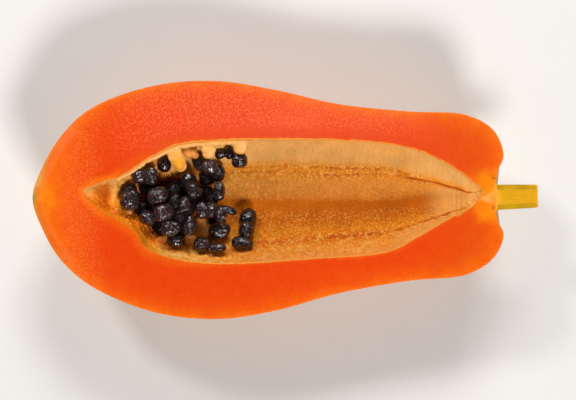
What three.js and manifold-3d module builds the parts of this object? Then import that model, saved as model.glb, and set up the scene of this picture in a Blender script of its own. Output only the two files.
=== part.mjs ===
// Half of a ripe papaya, cut lengthwise through its stem, lying on its rind with the cut face up.
//
// Millimetres. +Z is up, +X points from the blossom tip to the stem, and +Y is the far side.
// The origin is on the surface that the fruit lies on, in the middle of the model's length and width.
// The cavity holds a heap of seeds at its wide end, with lumps of loose pulp along the far rim.

import Module from 'manifold-3d';
import * as THREE from 'three';
import { mergeVertices } from 'three/addons/utils/BufferGeometryUtils.js';

const wasm = await Module();
wasm.setup();

// ---- Driving dimensions ----

const CUT_Z = 45.0; // height of the cut face; the flat spot underneath is at z = 0
const GAP = 0.3; // clearance between pieces that touch
const LINING = 1.2; // thickness of the skin that lines the cavity
const CUTTER = 400; // edge of the boxes that cut the solids off flat

// Stations along the fruit: x, the rind's y on the far side and on the near side, and its depth
// below the cut face. The last four go round the shoulder and down into the stem's recess.
const FRUIT_STATIONS = [
  [-102.3, 1.0, 1.0, 0],
  [-97.8, 14.2, -12.6, 12.6],
  [-90.6, 25.8, -24.2, 24.0],
  [-78.0, 37.1, -34.8, 34.5],
  [-52.0, 46.3, -45.4, 42.6],
  [-26.8, 48.0, -48.0, 45.0],
  [-4.0, 44.5, -44.7, 45.2],
  [22.0, 38.7, -37.6, 42.8],
  [50.0, 35.8, -32.6, 36.5],
  [74.0, 34.1, -29.8, 33.0],
  [84.5, 28.0, -23.2, 28.0],
  [88.4, 18.2, -14.0, 17.5],
  [86.3, 12.0, -8.8, 11.5],
  [85.4, 7.0, -5.4, 6.2],
  [85.2, 1.2, 1.2, 0],
];
const FRUIT_SPAN_RINGS = 3; // rings of faces between two stations
const FRUIT_SIDES = 40;

// The same for the cavity: x, far rim, near rim, depth.
const CAVITY_STATIONS = [
  [-81.5, 3.9, 3.9, 0],
  [-76.5, 6.5, -2.8, 3.8],
  [-67.5, 9.3, -8.4, 8.5],
  [-60.5, 13.4, -13.0, 13.0],
  [-56.5, 16.2, -19.4, 15.5],
  [-51.0, 19.0, -22.2, 17.5],
  [-43.5, 22.4, -24.2, 19.5],
  [-27.0, 24.2, -25.8, 21.0],
  [10.3, 24.6, -23.8, 21.5],
  [42.0, 22.8, -20.8, 19.5],
  [54.0, 20.1, -14.9, 15.5],
  [67.0, 14.2, -7.3, 9.5],
  [75.5, 8.2, -2.9, 5.0],
  [80.0, 3.9, 3.9, 0],
];
const CAVITY_SPAN_RINGS = 2;
const CAVITY_SIDES = 30;

// Five lobes run the length of the fruit. They are faint on the belly and deep round the stem,
// and the cavity has five shallow corners that face them.
const LOBES = 5;
const BELLY_LOBE = 0.012; // share of the radius
const STEM_LOBE = 0.045;
const STEM_LOBE_X = [45, 88]; // the lobes deepen between these
const CAVITY_LOBE = 0.045;
const VALLEY_SHIFT = 2.0; // the cavity's deepest line lies this far to the near side

// The blossom tip lies a little under the cut, so a crescent of rind shows beyond the flesh.
const TIP_SINK = 3.0;
const TIP_SINK_X = [-102.3, -60]; // all of it at the first, none at the second

// The stem, cut through with the fruit and wider at its foot: distance from the foot and radius.
const STEM_FOOT = [84.9, 1.1]; // x and y of the foot's middle
const STEM_PROFILE = [
  [0, 6.0],
  [1.4, 5.2],
  [8.1, 4.9],
  [16.7, 4.65],
  [17.4, 4.2],
];
const STEM_TILT = 0.03; // radians, towards the far side
const STEM_SIDES = 24;

// The heap of seeds: x, y, heading in degrees, length and width, from the lowest to the topmost.
const SEEDS = [
  [-62.5, 0.5, 80, 9.0, 7.5],
  [-55.0, -7.0, -20, 7.0, 5.5],
  [-49.0, 13.5, 80, 6.0, 5.0],
  [-58.5, 10.0, 10, 7.0, 6.0],
  [-54.0, 9.5, 80, 7.0, 5.5],
  [-44.0, -16.5, -5, 7.0, 5.5],
  [-46.0, -11.5, 10, 7.5, 6.5],
  [-51.0, 2.0, 18, 8.5, 6.5],
  [-48.5, -5.0, 15, 8.5, 7.0],
  [-40.0, -2.0, 90, 6.5, 4.5],
  [-44.0, 4.0, 80, 7.0, 5.5],
  [-39.0, 7.5, 100, 7.5, 6.5],
  [-36.5, 4.0, 120, 7.0, 6.0],
  [-35.0, 15.5, 110, 7.5, 5.0],
  [-30.5, 13.5, 0, 6.0, 6.0],
  [-27.0, 11.0, 70, 6.5, 5.5],
  [-26.5, 3.5, 85, 7.5, 4.5],
  [-33.0, -4.0, 100, 7.0, 5.0],
  [-29.5, -4.0, 80, 7.0, 4.5],
  [-25.5, -5.5, 85, 6.5, 4.5],
  [-38.0, -10.0, 78, 8.0, 5.0],
  [-33.0, -18.0, 5, 7.0, 6.0],
  [-26.0, -12.5, 14, 8.5, 6.5],
  [-25.5, 18.0, 10, 5.0, 4.0],
  [-22.5, 18.0, 90, 6.0, 4.0],
  [-18.5, 16.0, 90, 6.5, 6.0],
];

// Seeds that lie apart from the heap, and lumps of pulp on the far wall: the same five numbers.
const LOOSE_SEEDS = [
  [-16.9, -17.3, -4, 8.1, 5.0],
  [-15.3, -11.6, 75, 6.9, 6.1],
  [-14.7, -5.6, 80, 6.9, 6.3],
];
const PULP_LUMPS = [
  [-43.0, 16.2, 90, 8.9, 7.3],
  [-37.7, 18.6, 0, 5.6, 4.0],
  [-30.9, 19.0, 0, 6.0, 4.8],
  [-18.0, 20.4, 10, 6.9, 5.0],
];
const SEED_TAPER = 0.14; // how much narrower a seed's leading end is

// How each kind lies: its thickness as a share of its width, how much of that half thickness its
// middle is above the floor, and its facets.
const HEAP_SEED = { flatness: 0.9, lie: 0.5, sides: 9, rings: 6 };
const LOOSE_SEED = { flatness: 0.9, lie: 1.0, sides: 10, rings: 7 };
const PULP = { flatness: 0.7, lie: 0.9, sides: 10, rings: 7 };

// Packed seeds and pulp under the visible ones: the middle's x, y and depth below the cut face,
// then the half lengths along X, Y and Z.
const MOUNDS = [
  [-58, 4, 12, 12, 13, 6],
  [-42, -1, 16, 19, 21, 9],
  [-27, 6, 16, 12, 17, 8],
];
const MOUND_SIDES = 20;
const MOUND_RINGS = 10;

// ---- Shaping ----

const smooth = THREE.MathUtils.smoothstep;

// A station as it goes on past the tip, on the other side of the axis.
function mirrored([x, far, near, depth]) {
  return [x, near, far, -depth];
}

// A curve through one column of the stations. Its ends are rounded by a mirrored station each.
function columnCurve(stations, column) {
  const extended = [mirrored(stations[1]), ...stations, mirrored(stations.at(-2))];
  const points = extended.map((station) => new THREE.Vector3(station[0], station[column], 0));
  const curve = new THREE.CatmullRomCurve3(points, false, 'centripetal');
  const spans = stations.length - 1;
  return (along) => curve.getPoint((1 + along * spans) / (spans + 2));
}

// Moves each vertex of a geometry by place(vertex, uv).
function reshape(geometry, place) {
  const { position, uv } = geometry.attributes;
  const vertex = new THREE.Vector3();
  const at = new THREE.Vector2();
  for (let i = 0; i < position.count; i++) {
    vertex.fromBufferAttribute(position, i);
    at.fromBufferAttribute(uv, i);
    place(vertex, at);
    position.setXYZ(i, vertex.x, vertex.y, vertex.z);
  }
  return geometry;
}

// A closed body along X whose section at each station goes round the far side, the bottom,
// the near side and, mirrored, the top. lobe(x) is the lobes' share of the radius there,
// lift(x) moves the section up, and shift is how far its bottom leans to the near side.
function loft({ stations, spanRings, sides, lobe, lift, shift }) {
  const far = columnCurve(stations, 1);
  const near = columnCurve(stations, 2);
  const bottom = columnCurve(stations, 3);
  const deepest = Math.max(...stations.map((station) => station[3]));
  const sphere = new THREE.SphereGeometry(1, sides, spanRings * (stations.length - 1));
  return reshape(sphere, (vertex, uv) => {
    const along = 1 - uv.y;
    const angle = uv.x * 2 * Math.PI;
    const [a, b, k] = [far(along), near(along), bottom(along)];
    const middleX = (a.x + b.x) / 2;
    const side = Math.cos(angle);
    const down = Math.sin(angle);
    const x = middleX + ((a.x - b.x) / 2) * side + (k.x - middleX) * down ** 2;
    const bulge = 1 + lobe(x) * Math.sin(LOBES * angle);
    const lean = shift * (k.y / deepest) * down ** 2;
    vertex.set(
      x,
      (a.y + b.y) / 2 + ((a.y - b.y) / 2) * side * bulge - lean,
      CUT_Z + lift(x) - k.y * down * bulge,
    );
  });
}

function fruitBody() {
  return loft({
    stations: FRUIT_STATIONS,
    spanRings: FRUIT_SPAN_RINGS,
    sides: FRUIT_SIDES,
    lobe: (x) => THREE.MathUtils.lerp(BELLY_LOBE, STEM_LOBE, smooth(x, ...STEM_LOBE_X)),
    lift: (x) => TIP_SINK * (smooth(x, ...TIP_SINK_X) - 1),
    shift: 0,
  });
}

// The cavity's shape, drawn in from its wall by about `inset`, less where it narrows at its ends.
function cavityBody(inset) {
  const body = loft({
    stations: CAVITY_STATIONS,
    spanRings: CAVITY_SPAN_RINGS,
    sides: CAVITY_SIDES,
    lobe: () => CAVITY_LOBE,
    lift: () => 0,
    shift: VALLEY_SHIFT,
  });
  body.computeBoundingBox();
  const middle = body.boundingBox.getCenter(new THREE.Vector3());
  const half = body.boundingBox.getSize(new THREE.Vector3()).multiplyScalar(0.5);
  return body
    .translate(-middle.x, -middle.y, -CUT_Z)
    .scale(1 - inset / half.x, 1 - inset / half.y, 1 - inset / half.z)
    .translate(middle.x, middle.y, CUT_Z);
}

// A round body turned about X, from its foot to its far end.
function stemBody() {
  const profile = [[0, 0], ...STEM_PROFILE, [STEM_PROFILE.at(-1)[0], 0]];
  const points = profile.map(([distance, radius]) => new THREE.Vector2(radius, distance));
  return new THREE.LatheGeometry(points, STEM_SIDES)
    .rotateZ(-Math.PI / 2)
    .rotateZ(STEM_TILT)
    .translate(...STEM_FOOT, CUT_Z);
}

// An egg-shaped body that lies flat, `grow` larger all round.
function egg([x, y, heading, length, width], z, { flatness, sides, rings, grow }) {
  const sphere = new THREE.SphereGeometry(1, sides, rings).rotateZ(Math.PI / 2);
  reshape(sphere, (vertex) => {
    const taper = 1 - SEED_TAPER * vertex.x;
    vertex.set(
      vertex.x * (length / 2 + grow),
      vertex.y * (width / 2 + grow) * taper,
      vertex.z * ((width * flatness) / 2 + grow) * taper,
    );
  });
  return sphere.rotateZ(THREE.MathUtils.degToRad(heading)).translate(x, y, z);
}

function moundBody([x, y, depth, halfX, halfY, halfZ]) {
  return new THREE.SphereGeometry(1, MOUND_SIDES, MOUND_RINGS)
    .scale(halfX, halfY, halfZ)
    .translate(x, y, CUT_Z - depth);
}

// ---- Joining and cutting ----

function toSolid(geometry) {
  const plain = geometry.clone();
  plain.deleteAttribute('normal');
  plain.deleteAttribute('uv');
  const merged = mergeVertices(plain, 1e-4);
  const mesh = new wasm.Mesh({
    numProp: 3,
    vertProperties: new Float32Array(merged.attributes.position.array),
    triVerts: new Uint32Array(merged.index.array),
  });
  mesh.merge();
  return new wasm.Manifold(mesh);
}

function toGeometry(solid) {
  const { vertProperties, triVerts } = solid.getMesh();
  const geometry = new THREE.BufferGeometry();
  geometry.setAttribute('position', new THREE.BufferAttribute(vertProperties, 3));
  geometry.setIndex(new THREE.BufferAttribute(triVerts, 1));
  geometry.computeVertexNormals();
  return geometry;
}

// Everything between two heights.
function slab(low, high) {
  return toSolid(new THREE.BoxGeometry(CUTTER, CUTTER, high - low).translate(0, 0, (low + high) / 2));
}

function joined(solids) {
  return solids.reduce((whole, next) => whole.add(next));
}

function largest(solid) {
  return solid.decompose().sort((a, b) => b.volume() - a.volume())[0];
}

// ---- Laying seeds and pulp down ----

// Makes floorAt(x, y), the height of the topmost of these surfaces inside the cavity.
function floorFinder(surfaces) {
  const material = new THREE.MeshBasicMaterial({ side: THREE.DoubleSide });
  const meshes = surfaces.map((surface) => new THREE.Mesh(surface, material));
  const down = new THREE.Vector3(0, 0, -1);
  return (x, y) => {
    const hits = new THREE.Raycaster(new THREE.Vector3(x, y, CUT_Z), down).intersectObjects(meshes);
    return hits.length > 0 ? hits[0].point.z : CUT_Z;
  };
}

// ---- The pieces ----

const papaya = new THREE.Group();

function addPiece(name, solid, color, roughness) {
  const material = new THREE.MeshStandardMaterial({ color, roughness, metalness: 0 });
  const mesh = new THREE.Mesh(toGeometry(solid), material);
  mesh.name = name;
  papaya.add(mesh);
}

const below = slab(0, CUT_Z);
const fruit = toSolid(fruitBody());
const flesh = fruit.intersect(below).subtract(toSolid(cavityBody(0)));
const lining = toSolid(cavityBody(GAP))
  .subtract(toSolid(cavityBody(GAP + LINING)))
  .intersect(below);
const roomGeometry = cavityBody(2 * GAP + LINING);
const room = toSolid(roomGeometry).intersect(below);
const stem = toSolid(stemBody()).intersect(below).subtract(fruit).subtract(fruit.translate([GAP, 0, 0]));

const moundGeometries = MOUNDS.map(moundBody);
const floorAt = floorFinder([roomGeometry, ...moundGeometries]);

// An egg as a solid, lying on the floor there or pressed into it.
function laid(shape, kind, grow = 0) {
  const [x, y, , , width] = shape;
  const z = floorAt(x, y) + (kind.lie * width * kind.flatness) / 2;
  return toSolid(egg(shape, z, { ...kind, grow }));
}

// The topmost pieces keep their whole shape. What lies under them is cut back by the gap.
let clearance = null;
function addOnTop(name, shape, kind, color, roughness) {
  const solid = laid(shape, kind);
  const grown = laid(shape, kind, GAP);
  addPiece(name, largest((clearance ? solid.subtract(clearance) : solid).intersect(room)), color, roughness);
  clearance = clearance ? clearance.add(grown) : grown;
}

PULP_LUMPS.forEach((lump, i) => addOnTop(`pulp_${i + 1}`, lump, PULP, 0xf2ae55, 0.35));
LOOSE_SEEDS.forEach((seed, i) => addOnTop(`loose_seed_${i + 1}`, seed, LOOSE_SEED, 0x1c1214, 0.2));

const heapSolids = [...SEEDS.map((seed) => laid(seed, HEAP_SEED)), ...moundGeometries.map(toSolid)];
const heap = joined(heapSolids).intersect(room).subtract(clearance);

addPiece('seed_heap', largest(heap), 0x1c1214, 0.2);
addPiece('flesh', flesh, 0xf0561f, 0.4);
addPiece('lining', lining, 0xd08a45, 0.55);
addPiece('stem', stem, 0xc9a02c, 0.6);

export default papaya;
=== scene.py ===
"""The looks of half a ripe papaya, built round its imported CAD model.

Lengths in this script are millimetres, in the CAD model's frame: +Z up, +X from the blossom tip to
the stem, +Y the far side. They become metres where a mesh is made.
"""

import math

import bmesh
import bpy
import numpy as np
from mathutils import Matrix, Vector, noise
from mathutils.bvhtree import BVHTree
from mathutils.geometry import delaunay_2d_cdt
from mathutils.kdtree import KDTree


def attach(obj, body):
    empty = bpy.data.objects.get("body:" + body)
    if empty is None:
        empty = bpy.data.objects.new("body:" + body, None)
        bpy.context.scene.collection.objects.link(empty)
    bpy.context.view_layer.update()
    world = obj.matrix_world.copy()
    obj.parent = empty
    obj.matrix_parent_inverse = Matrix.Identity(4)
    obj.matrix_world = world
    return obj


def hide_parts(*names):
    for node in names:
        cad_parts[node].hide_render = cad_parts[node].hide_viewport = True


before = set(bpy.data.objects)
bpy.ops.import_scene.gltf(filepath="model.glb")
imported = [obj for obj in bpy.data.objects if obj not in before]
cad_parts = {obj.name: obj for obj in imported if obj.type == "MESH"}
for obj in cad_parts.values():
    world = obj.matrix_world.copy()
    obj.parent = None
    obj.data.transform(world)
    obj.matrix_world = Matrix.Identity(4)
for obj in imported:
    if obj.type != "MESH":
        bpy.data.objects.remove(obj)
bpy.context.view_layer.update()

MM = 0.001

# ---- The fruit's shape: the same stations as the CAD model, at a finer resolution ----

CUT_Z = 45.0  # the cut face's height

# x, y on the far side and on the near side, and depth below the cut face
FRUIT_STATIONS = [
    (-102.3, 1.0, 1.0, 0),
    (-97.8, 14.2, -12.6, 12.6),
    (-90.6, 25.8, -24.2, 24.0),
    (-78.0, 37.1, -34.8, 34.5),
    (-52.0, 46.3, -45.4, 42.6),
    (-26.8, 48.0, -48.0, 45.0),
    (-4.0, 44.5, -44.7, 45.2),
    (22.0, 38.7, -37.6, 42.8),
    (50.0, 35.8, -32.6, 36.5),
    (74.0, 34.1, -29.8, 33.0),
    (84.5, 28.0, -23.2, 28.0),
    (88.4, 18.2, -14.0, 17.5),
    (86.3, 12.0, -8.8, 11.5),
    (85.4, 7.0, -5.4, 6.2),
    (85.2, 1.2, 1.2, 0),
]
CAVITY_STATIONS = [
    (-81.5, 3.9, 3.9, 0),
    (-76.5, 6.5, -2.8, 3.8),
    (-67.5, 9.3, -8.4, 8.5),
    (-60.5, 13.4, -13.0, 13.0),
    (-56.5, 16.2, -19.4, 15.5),
    (-51.0, 19.0, -22.2, 17.5),
    (-43.5, 22.4, -24.2, 19.5),
    (-27.0, 24.2, -25.8, 21.0),
    (10.3, 24.6, -23.8, 21.5),
    (42.0, 22.8, -20.8, 19.5),
    (54.0, 20.1, -14.9, 15.5),
    (67.0, 14.2, -7.3, 9.5),
    (75.5, 8.2, -2.9, 5.0),
    (80.0, 3.9, 3.9, 0),
]
FAR, NEAR, BOTTOM = 1, 2, 3  # a station's columns

LOBES = 5
BELLY_LOBE = 0.012  # share of the radius
STEM_LOBE = 0.045
STEM_LOBE_X = (45, 88)
CAVITY_LOBE = 0.045
VALLEY_SHIFT = 2.0  # the cavity's lowest line leans this far to the near side
TIP_SINK = 3.0  # the tip's end lies below the cut plane
TIP_SINK_X = (-102.3, -60)
TIP_ROUNDING = 1.6  # the cut face's edge bends down this far at the tip
TIP_ROUNDING_X = (-82, -98)
TIP_ROUNDING_DEPTH = 4.0  # of the rind that bends with it

SKIN_SPACING = 0.9  # between rows of vertices
SKIN_SIDES = 200
FACE_SPACING = 0.72  # between the cut face's vertices
FACE_JITTER = 0.22  # share of the spacing
FACE_CLEARANCE = 0.55  # share of the spacing, from the outlines
FACE_DROP = 0.07  # the flesh dries to a little below the rind's edge
FACE_RELIEF = 0.035
WALL_SPACING = 1.6  # on the flesh behind the lining
WALL_SIDES = 24
WELD = 1e-3  # points this close are one

LINING_SPACING = 0.37
LINING_SIDES = 176
LINING_BACK_STEP = 12  # the back has one column for every so many of the inner surface
RIM_THICKNESS = 0.5  # of the lining, at the cut
LINING_THICKNESS = 1.2  # deeper in the cavity
THICKEN_DEPTH = 5.0
LINING_BACK = 0.12  # how far the lining's back reaches into the flesh
RIM_STEPS = ((0.12, 0.12), (0.45, 0.03), (0.8, 0.04))  # share of the way over the rim, drop
RIM_BLEND = (0.3, 0.7, 0.9)  # how much of the flesh's colour each step takes at the left
RIM_GRAIN = 0.3  # how granular the rim and the back are
RIM_WANDER = 0.45  # how far its edge strays
RIM_NICK = 1.0  # a step in the near rim by the stem

# ---- The camera ----

CAMERA_AT = (1.41, 0.04, 593.7)
CAMERA_PLAN = np.array(CAMERA_AT[:2])
LENS = 85  # on a 36 mm sensor


def lerp(a, b, share):
    return a + (b - a) * share


def ramp(x, start, full):
    """0 up to `start`, 1 from `full`, smooth between. It falls where `full` is the lower one."""
    share = np.clip((x - start) / (full - start), 0, 1)
    return share * share * (3 - 2 * share)


def bell(x, width):
    """1 at x = 0, falling to a third at `width`."""
    return np.exp(-((x / width) ** 2))


def from_spot(x, y, middle, half):
    """How far x, y is from a spot's middle, counted in the spot's half sizes."""
    return np.hypot((x - middle[0]) / half[0], (y - middle[1]) / half[1])


def traced(line, x):
    """The value at x of a line of straight pieces through (x, value) points."""
    return np.interp(x, [p[0] for p in line], [p[1] for p in line])


def column_curve(stations, column, along):
    """x and value at places from 0 to 1 on a centripetal Catmull-Rom curve through one column."""
    mirrored = [(x, near, far, -depth) for x, far, near, depth in (stations[1], stations[-2])]
    points = np.array([mirrored[0], *stations, mirrored[1]])[:, (0, column)]
    place = 1 + np.asarray(along) * (len(stations) - 1)
    index = np.minimum(place.astype(int), len(stations) - 1)
    p0, p1, p2, p3 = (points[index + step] for step in (-1, 0, 1, 2))
    gap = lambda a, b: np.sqrt(np.hypot(*(b - a).T))[:, None]
    d0, d1, d2 = gap(p0, p1), gap(p1, p2), gap(p2, p3)
    start = ((p1 - p0) / d0 - (p2 - p0) / (d0 + d1) + (p2 - p1) / d1) * d1
    end = ((p2 - p1) / d1 - (p3 - p1) / (d1 + d2) + (p3 - p2) / d2) * d1
    t = (place - index)[:, None]
    bend = (-3 * p1 + 3 * p2 - 2 * start - end) * t**2
    return p1 + start * t + bend + (2 * p1 - 2 * p2 + start + end) * t**3


def loft(stations, along, angle, lobe, lift=lambda x: 0 * x, shift=0.0):
    """Points of a lofted body, one row for each place along and one column for each angle."""
    far, near, bottom = (column_curve(stations, c, along)[:, None] for c in (FAR, NEAR, BOTTOM))
    deepest = max(station[BOTTOM] for station in stations)
    side, down = np.cos(angle), np.sin(angle)
    middle_x = (far[..., 0] + near[..., 0]) / 2
    x = middle_x + (far[..., 0] - near[..., 0]) / 2 * side + (bottom[..., 0] - middle_x) * down**2
    bulge = 1 + lobe(x) * np.sin(LOBES * angle)
    lean = shift * bottom[..., 1] / deepest * down**2
    y = (far[..., 1] + near[..., 1]) / 2 + (far[..., 1] - near[..., 1]) / 2 * side * bulge - lean
    z = CUT_Z + lift(x) - bottom[..., 1] * down * bulge
    return np.stack([x, y, z], axis=-1)


def fruit_points(along, angle):
    lobe = lambda x: lerp(BELLY_LOBE, STEM_LOBE, ramp(x, *STEM_LOBE_X))
    lift = lambda x: TIP_SINK * (ramp(x, *TIP_SINK_X) - 1)
    return loft(FRUIT_STATIONS, along, angle, lobe, lift)


def cavity_points(along, sides):
    lobe = lambda x: np.full_like(x, CAVITY_LOBE)
    return loft(CAVITY_STATIONS, along, np.linspace(0, np.pi, sides + 1), lobe, shift=VALLEY_SHIFT)


def even_places(stations, spacing):
    """Places from 0 to 1 that lie evenly along the far side's curve."""
    fine = np.linspace(0, 1, 6001)
    steps = np.diff(column_curve(stations, FAR, fine), axis=0)
    travelled = np.append(0, np.cumsum(np.hypot(*steps.T)))
    count = round(travelled[-1] / spacing)
    return np.interp(np.linspace(0, travelled[-1], count + 1), travelled, fine)


def grid_faces(rows, columns, wrap=False):
    """Quads of a grid of vertices. With wrap, the last column joins the first."""
    row = np.arange(rows - 1)[:, None] * columns
    column = np.arange(columns if wrap else columns - 1)
    after = (column + 1) % columns
    corners = [row + column, row + after, row + columns + after, row + columns + column]
    return np.stack(corners, axis=-1).reshape(-1, 4).tolist()


def grid_normals(grid):
    """Unit normals of a grid of points, from its rows and columns."""
    normals = np.cross(np.gradient(grid, axis=1), np.gradient(grid, axis=0))
    return normals / np.maximum(np.linalg.norm(normals, axis=-1, keepdims=True), 1e-9)


def seen(points):
    """Where points appear on the cut plane, looked at from the camera."""
    nearness = (CAMERA_AT[2] - CUT_Z) / (CAMERA_AT[2] - points[..., 2:])
    return CAMERA_PLAN + (points[..., :2] - CAMERA_PLAN) * nearness


def placed(x, y, z):
    """The plan place of a thing at height z that looks to be at x, y on the cut plane, and its
    scale there."""
    farness = (CAMERA_AT[2] - z) / (CAMERA_AT[2] - CUT_Z)
    return CAMERA_PLAN + (np.array([x, y]) - CAMERA_PLAN) * farness, farness


# ---- Procedural patterns, one value for each point ----


def lumps(points, size, seed, octaves=1):
    """Smooth noise from about -1 to 1. size is a lump's width, one number or one for each axis."""
    places = (points.reshape(-1, 3) / size + 19.7 * seed).tolist()
    if octaves == 1:
        values = [noise.noise(place) for place in places]
    else:
        values = [noise.fractal(place, 0.6, 2.0, octaves) for place in places]
    return np.array(values).reshape(points.shape[:-1])


def grains(points, size, seed):
    """Rounded grains: 1 at a grain's middle, falling to 0 between the grains."""
    places = points.reshape(-1, 3) / size + 7.3 * seed
    values = [noise.voronoi(place)[0][0] for place in places.tolist()]
    return np.clip(1 - 1.35 * np.array(values), 0, 1).reshape(points.shape[:-1])


# ---- Colours and materials ----


def tone(red, green, blue):
    """A linear colour from the 8-bit values that a picture shows."""
    share = np.array([red, green, blue]) / 255
    return np.where(share <= 0.04045, share / 12.92, ((share + 0.055) / 1.055) ** 2.4)


class Coat:
    """The colours of points, tinted in layers over one ground colour."""

    def __init__(self, points, ground):
        self.colours = np.tile(ground, (*points.shape[:-1], 1))

    def tint(self, colour, share):
        """Mixes a share of one colour, or of one colour for each point, into the coat."""
        self.colours = self.colours + (colour - self.colours) * np.clip(share, 0, 1)[..., None]


class Material:
    """A Principled material, whose colour and relief are built up in layers of texture nodes."""

    def __init__(self, name, base, sockets):
        """base is the name of a mesh's colours, or one colour."""
        self.data = bpy.data.materials.new(name)
        self.data.use_nodes = True
        self.nodes = self.data.node_tree.nodes
        self.shader = self.nodes["Principled BSDF"]
        self.set(self.shader, sockets)
        self.place = self.add("TexCoord", {}, "Object")
        self.colour = self.painted(base) if isinstance(base, str) else (*base, 1.0)
        self.normal = None

    def set(self, node, inputs):
        """Gives inputs of a node their values, or links them to other nodes' outputs."""
        for key, value in inputs.items():
            if isinstance(value, bpy.types.NodeSocket):
                self.data.node_tree.links.new(value, node.inputs[key])
            else:
                node.inputs[key].default_value = value

    def add(self, kind, inputs, output, **settings):
        """One output of a new node."""
        node = self.nodes.new("ShaderNode" + kind)
        for key, value in settings.items():
            setattr(node, key, value)
        self.set(node, inputs)
        return node.outputs[output]

    def painted(self, name, output="Color"):
        """What the mesh's vertices hold under this name."""
        return self.add("Attribute", {}, output, attribute_name=name)

    def scaled_place(self, size):
        """Object coordinates counted in lumps of this size: one number, or one for each axis."""
        scale = [1 / (MM * s) for s in (size if isinstance(size, tuple) else (size,) * 3)]
        return self.add("VectorMath", {0: self.place, 1: scale}, 0, operation="MULTIPLY")

    def noise(self, size, detail=2.0, roughness=0.5, distortion=0.0):
        inputs = {"Vector": self.scaled_place(size), "Scale": 1.0, "Detail": detail}
        inputs |= {"Roughness": roughness, "Distortion": distortion}
        return self.add("TexNoise", inputs, "Fac")

    def cells(self, size):
        return self.add("TexVoronoi", {"Vector": self.scaled_place(size), "Scale": 1.0}, "Distance")

    def levels(self, value, low, high, most=1.0, least=0.0):
        """From `least` where value is `low` to `most` where it is `high`."""
        inputs = {"Value": value, "From Min": low, "From Max": high, "To Min": least, "To Max": most}
        return self.add("MapRange", inputs, "Result")

    def math(self, operation, *values):
        return self.add("Math", dict(enumerate(values)), 0, operation=operation)

    def times(self, a, b):
        return self.math("MULTIPLY", a, b)

    def plus(self, a, b):
        return self.math("ADD", a, b)

    def tint(self, colour, share):
        """Mixes a share of one colour into the colour made so far."""
        inputs = {0: share, 6: self.colour, 7: (*colour, 1.0)}
        self.colour = self.add("Mix", inputs, 2, data_type="RGBA")

    def bump(self, height, depth):
        """Relief `depth` mm deep, on top of the relief made so far."""
        inputs = {"Height": height, "Distance": depth * MM, "Strength": 1.0}
        if self.normal:
            inputs["Normal"] = self.normal
        self.normal = self.add("Bump", inputs, "Normal")

    def finish(self, roughness):
        self.set(self.shader, {"Base Color": self.colour, "Roughness": roughness})
        if self.normal:
            self.set(self.shader, {"Normal": self.normal})
        return self.data


def light_inside(share, depth, reach=(1.0, 0.2, 0.1)):
    """Sockets for light that scatters below the surface: share, depth in mm and reach by channel."""
    return {"Subsurface Weight": share, "Subsurface Scale": depth * MM, "Subsurface Radius": reach}


def flesh_material():
    sockets = {"Specular IOR Level": 0.4, **light_inside(0.15, 1.6, (1.0, 0.25, 0.06))}
    look = Material("papaya_flesh", "tone", sockets)
    grain = look.noise(0.8, detail=3.0, roughness=0.7)
    blotch = look.noise(4.5, detail=3.0)
    look.tint(tone(226, 52, 4), look.levels(blotch, 0.4, 0.7, 0.3))
    look.tint(tone(224, 50, 4), look.levels(grain, 0.48, 0.36, 0.25))
    # pale specks where the sheen zone lies: painted glints of reflected light
    sheen_zone = look.plus(look.painted("tone", "Alpha"), 0.12)
    pale = look.times(look.levels(grain, 0.48, 0.68), sheen_zone)
    look.tint(tone(255, 124, 72), look.times(pale, 0.75))
    look.bump(grain, 0.03)
    dry = look.levels(look.painted("rind", "Alpha"), 0.0, 1.0, 0.4)
    return look.finish(look.plus(look.levels(grain, 0.35, 0.65, 0.22, 0.12), dry))


def rind_material():
    sockets = {"Specular IOR Level": 0.45, "Coat Weight": 0.12, "Coat Roughness": 0.35}
    look = Material("papaya_rind", "rind", sockets)
    cloud = look.noise(9.0, detail=4.0, roughness=0.6)
    pore = look.noise(0.5)
    look.tint(tone(214, 142, 30), look.levels(cloud, 0.4, 0.75, 0.35))
    speckle = look.times(look.levels(look.cells(2.6), 0.16, 0.05), look.levels(cloud, 0.42, 0.62))
    look.tint(tone(150, 96, 34), look.times(speckle, 0.65))
    look.bump(cloud, 0.35)
    look.bump(pore, 0.03)
    return look.finish(look.levels(pore, 0.3, 0.7, 0.48, 0.34))


def lining_material():
    sockets = {"Specular IOR Level": 0.05, **light_inside(0.1, 1.0, (1.0, 0.4, 0.12))}
    look = Material("cavity_lining", "tone", sockets)
    granular = look.painted("tone", "Alpha")
    grain = look.noise(0.85, detail=3.0, roughness=0.7)
    fibre = look.noise((0.6, 3.0, 3.0))
    clump = look.levels(look.noise(3.2), 0.42, 0.58)
    bead = look.times(look.times(look.levels(look.cells(1.05), 0.42, 0.14), clump), granular)
    dark = look.times(look.levels(grain, 0.5, 0.3), look.plus(granular, 0.3))
    pale = look.times(look.levels(grain, 0.52, 0.7), look.plus(granular, 0.35))
    look.tint(tone(150, 64, 4), look.times(dark, 0.4))
    look.tint(tone(252, 184, 84), look.times(pale, 0.35))
    look.tint(tone(166, 84, 20), look.levels(fibre, 0.5, 0.3, 0.12))
    look.tint(tone(255, 184, 66), look.times(bead, 0.7))
    look.bump(fibre, 0.05)
    look.bump(grain, 0.16)
    look.bump(bead, 0.14)
    return look.finish(look.levels(grain, 0.3, 0.7, 0.65, 0.45))


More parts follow.
